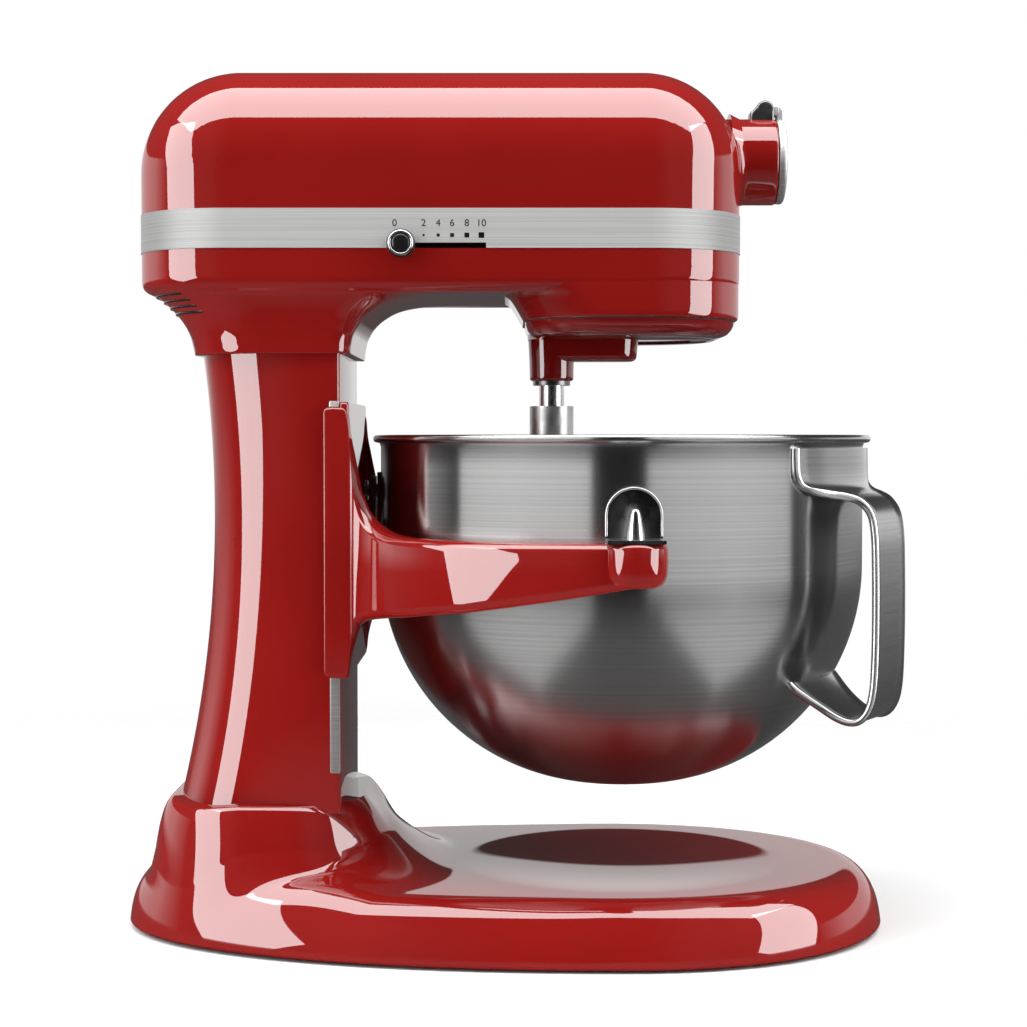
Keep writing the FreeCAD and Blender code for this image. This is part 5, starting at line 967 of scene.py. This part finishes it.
def room_math(operation, first, second):
    """One step of arithmetic on two sockets of the room's shader; a plain number may stand for a socket."""
    node = tree.nodes.new("ShaderNodeMath")
    node.operation = operation
    for socket, source in zip(node.inputs, (first, second)):
        if isinstance(source, (int, float)):
            socket.default_value = source
        else:
            tree.links.new(source, socket)
    return node.outputs["Value"]


def room_range(source, start, end, low, high):
    """A socket's value from start to end, spread between low and high and held beyond them."""
    span = tree.nodes.new("ShaderNodeMapRange")
    for name, value in zip(("From Min", "From Max", "To Min", "To Max"), (start, end, low, high)):
        span.inputs[name].default_value = value
    tree.links.new(source, span.inputs["Value"])
    return span.outputs["Result"]


DIM, WHITE = 0.06, 0.85
aside = room_range(room_math("ABSOLUTE", split.outputs["X"], 0), 0.15, 0.4, 0.0, DIM)
ahead = room_math("MULTIPLY", aside, room_range(split.outputs["Y"], -0.1, 0.3, 1, 0))
horizon = room_range(split.outputs["Z"], 0.217, 0.235, WHITE, DIM)
behind = room_math("MULTIPLY", horizon, room_range(split.outputs["Y"], -0.1, 0.3, 0, 1))
above_floor = room_range(split.outputs["Z"], -0.05, 0, 0.1, 1)
around = room_math("MULTIPLY", room_math("ADD", ahead, behind), above_floor)
light = tree.nodes.new("ShaderNodeLightPath")
white = room_math("MAXIMUM", light.outputs["Is Camera Ray"], light.outputs["Is Transmission Ray"])
seen = room_math("MAXIMUM", white, around)
tree.links.new(seen, backdrop.inputs["Strength"])
backdrop.inputs["Color"].default_value = (1, 1, 1, 1)
print("room ready")

# %% [markdown]
# ## Floor
#
# The mixer stands on a pale sheet that keeps its soft shadow. Further out the sheet turns transparent, so
# that it has no edge in the picture, and to mirror rays it is dim, like the floor of a studio.

# %% Floor
floor_mesh = bpy.data.meshes.new("floor")
floor_mesh.from_pydata([(-3, -2, 0), (3, -2, 0), (3, 3, 0), (-3, 3, 0)], [], [(0, 1, 2, 3)])
floor = bpy.data.objects.new("floor", floor_mesh)
bpy.context.scene.collection.objects.link(floor)
floor_finish, floor_shader = start_finish("floor")
spread(floor_finish, pattern(floor_finish, 3), "Base Color", (0.86, 0.86, 0.86), (0.9, 0.9, 0.9))
floor_shader.inputs["Roughness"].default_value = 0.9
floor_shader.inputs["Specular IOR Level"].default_value = 0.1
tree = floor_finish.node_tree
coords = tree.nodes.new("ShaderNodeTexCoord")
far = tree.nodes.new("ShaderNodeVectorMath")
far.operation = "LENGTH"
fade = tree.nodes.new("ShaderNodeMapRange")
fade.inputs["From Min"].default_value = 0.35
fade.inputs["From Max"].default_value = 0.9
open_air = tree.nodes.new("ShaderNodeBsdfTransparent")
blend = tree.nodes.new("ShaderNodeMixShader")
light = tree.nodes.new("ShaderNodeLightPath")
dim = tree.nodes.new("ShaderNodeBsdfDiffuse")
dim.inputs["Color"].default_value = (0.07, 0.07, 0.07, 1)
mirrored = tree.nodes.new("ShaderNodeMixShader")
wire(tree, (coords.outputs["Object"], far.inputs[0]), (far.outputs["Value"], fade.inputs["Value"]),
     (light.outputs["Is Glossy Ray"], mirrored.inputs["Fac"]),
     (floor_shader.outputs["BSDF"], mirrored.inputs[1]), (dim.outputs["BSDF"], mirrored.inputs[2]),
     (fade.outputs["Result"], blend.inputs["Fac"]), (mirrored.outputs["Shader"], blend.inputs[1]),
     (open_air.outputs["BSDF"], blend.inputs[2]),
     (blend.outputs["Shader"], tree.nodes["Material Output"].inputs["Surface"]))
floor_mesh.materials.append(floor_finish)
bpy.context.scene.view_settings.view_transform = "Standard"
print("floor ready")
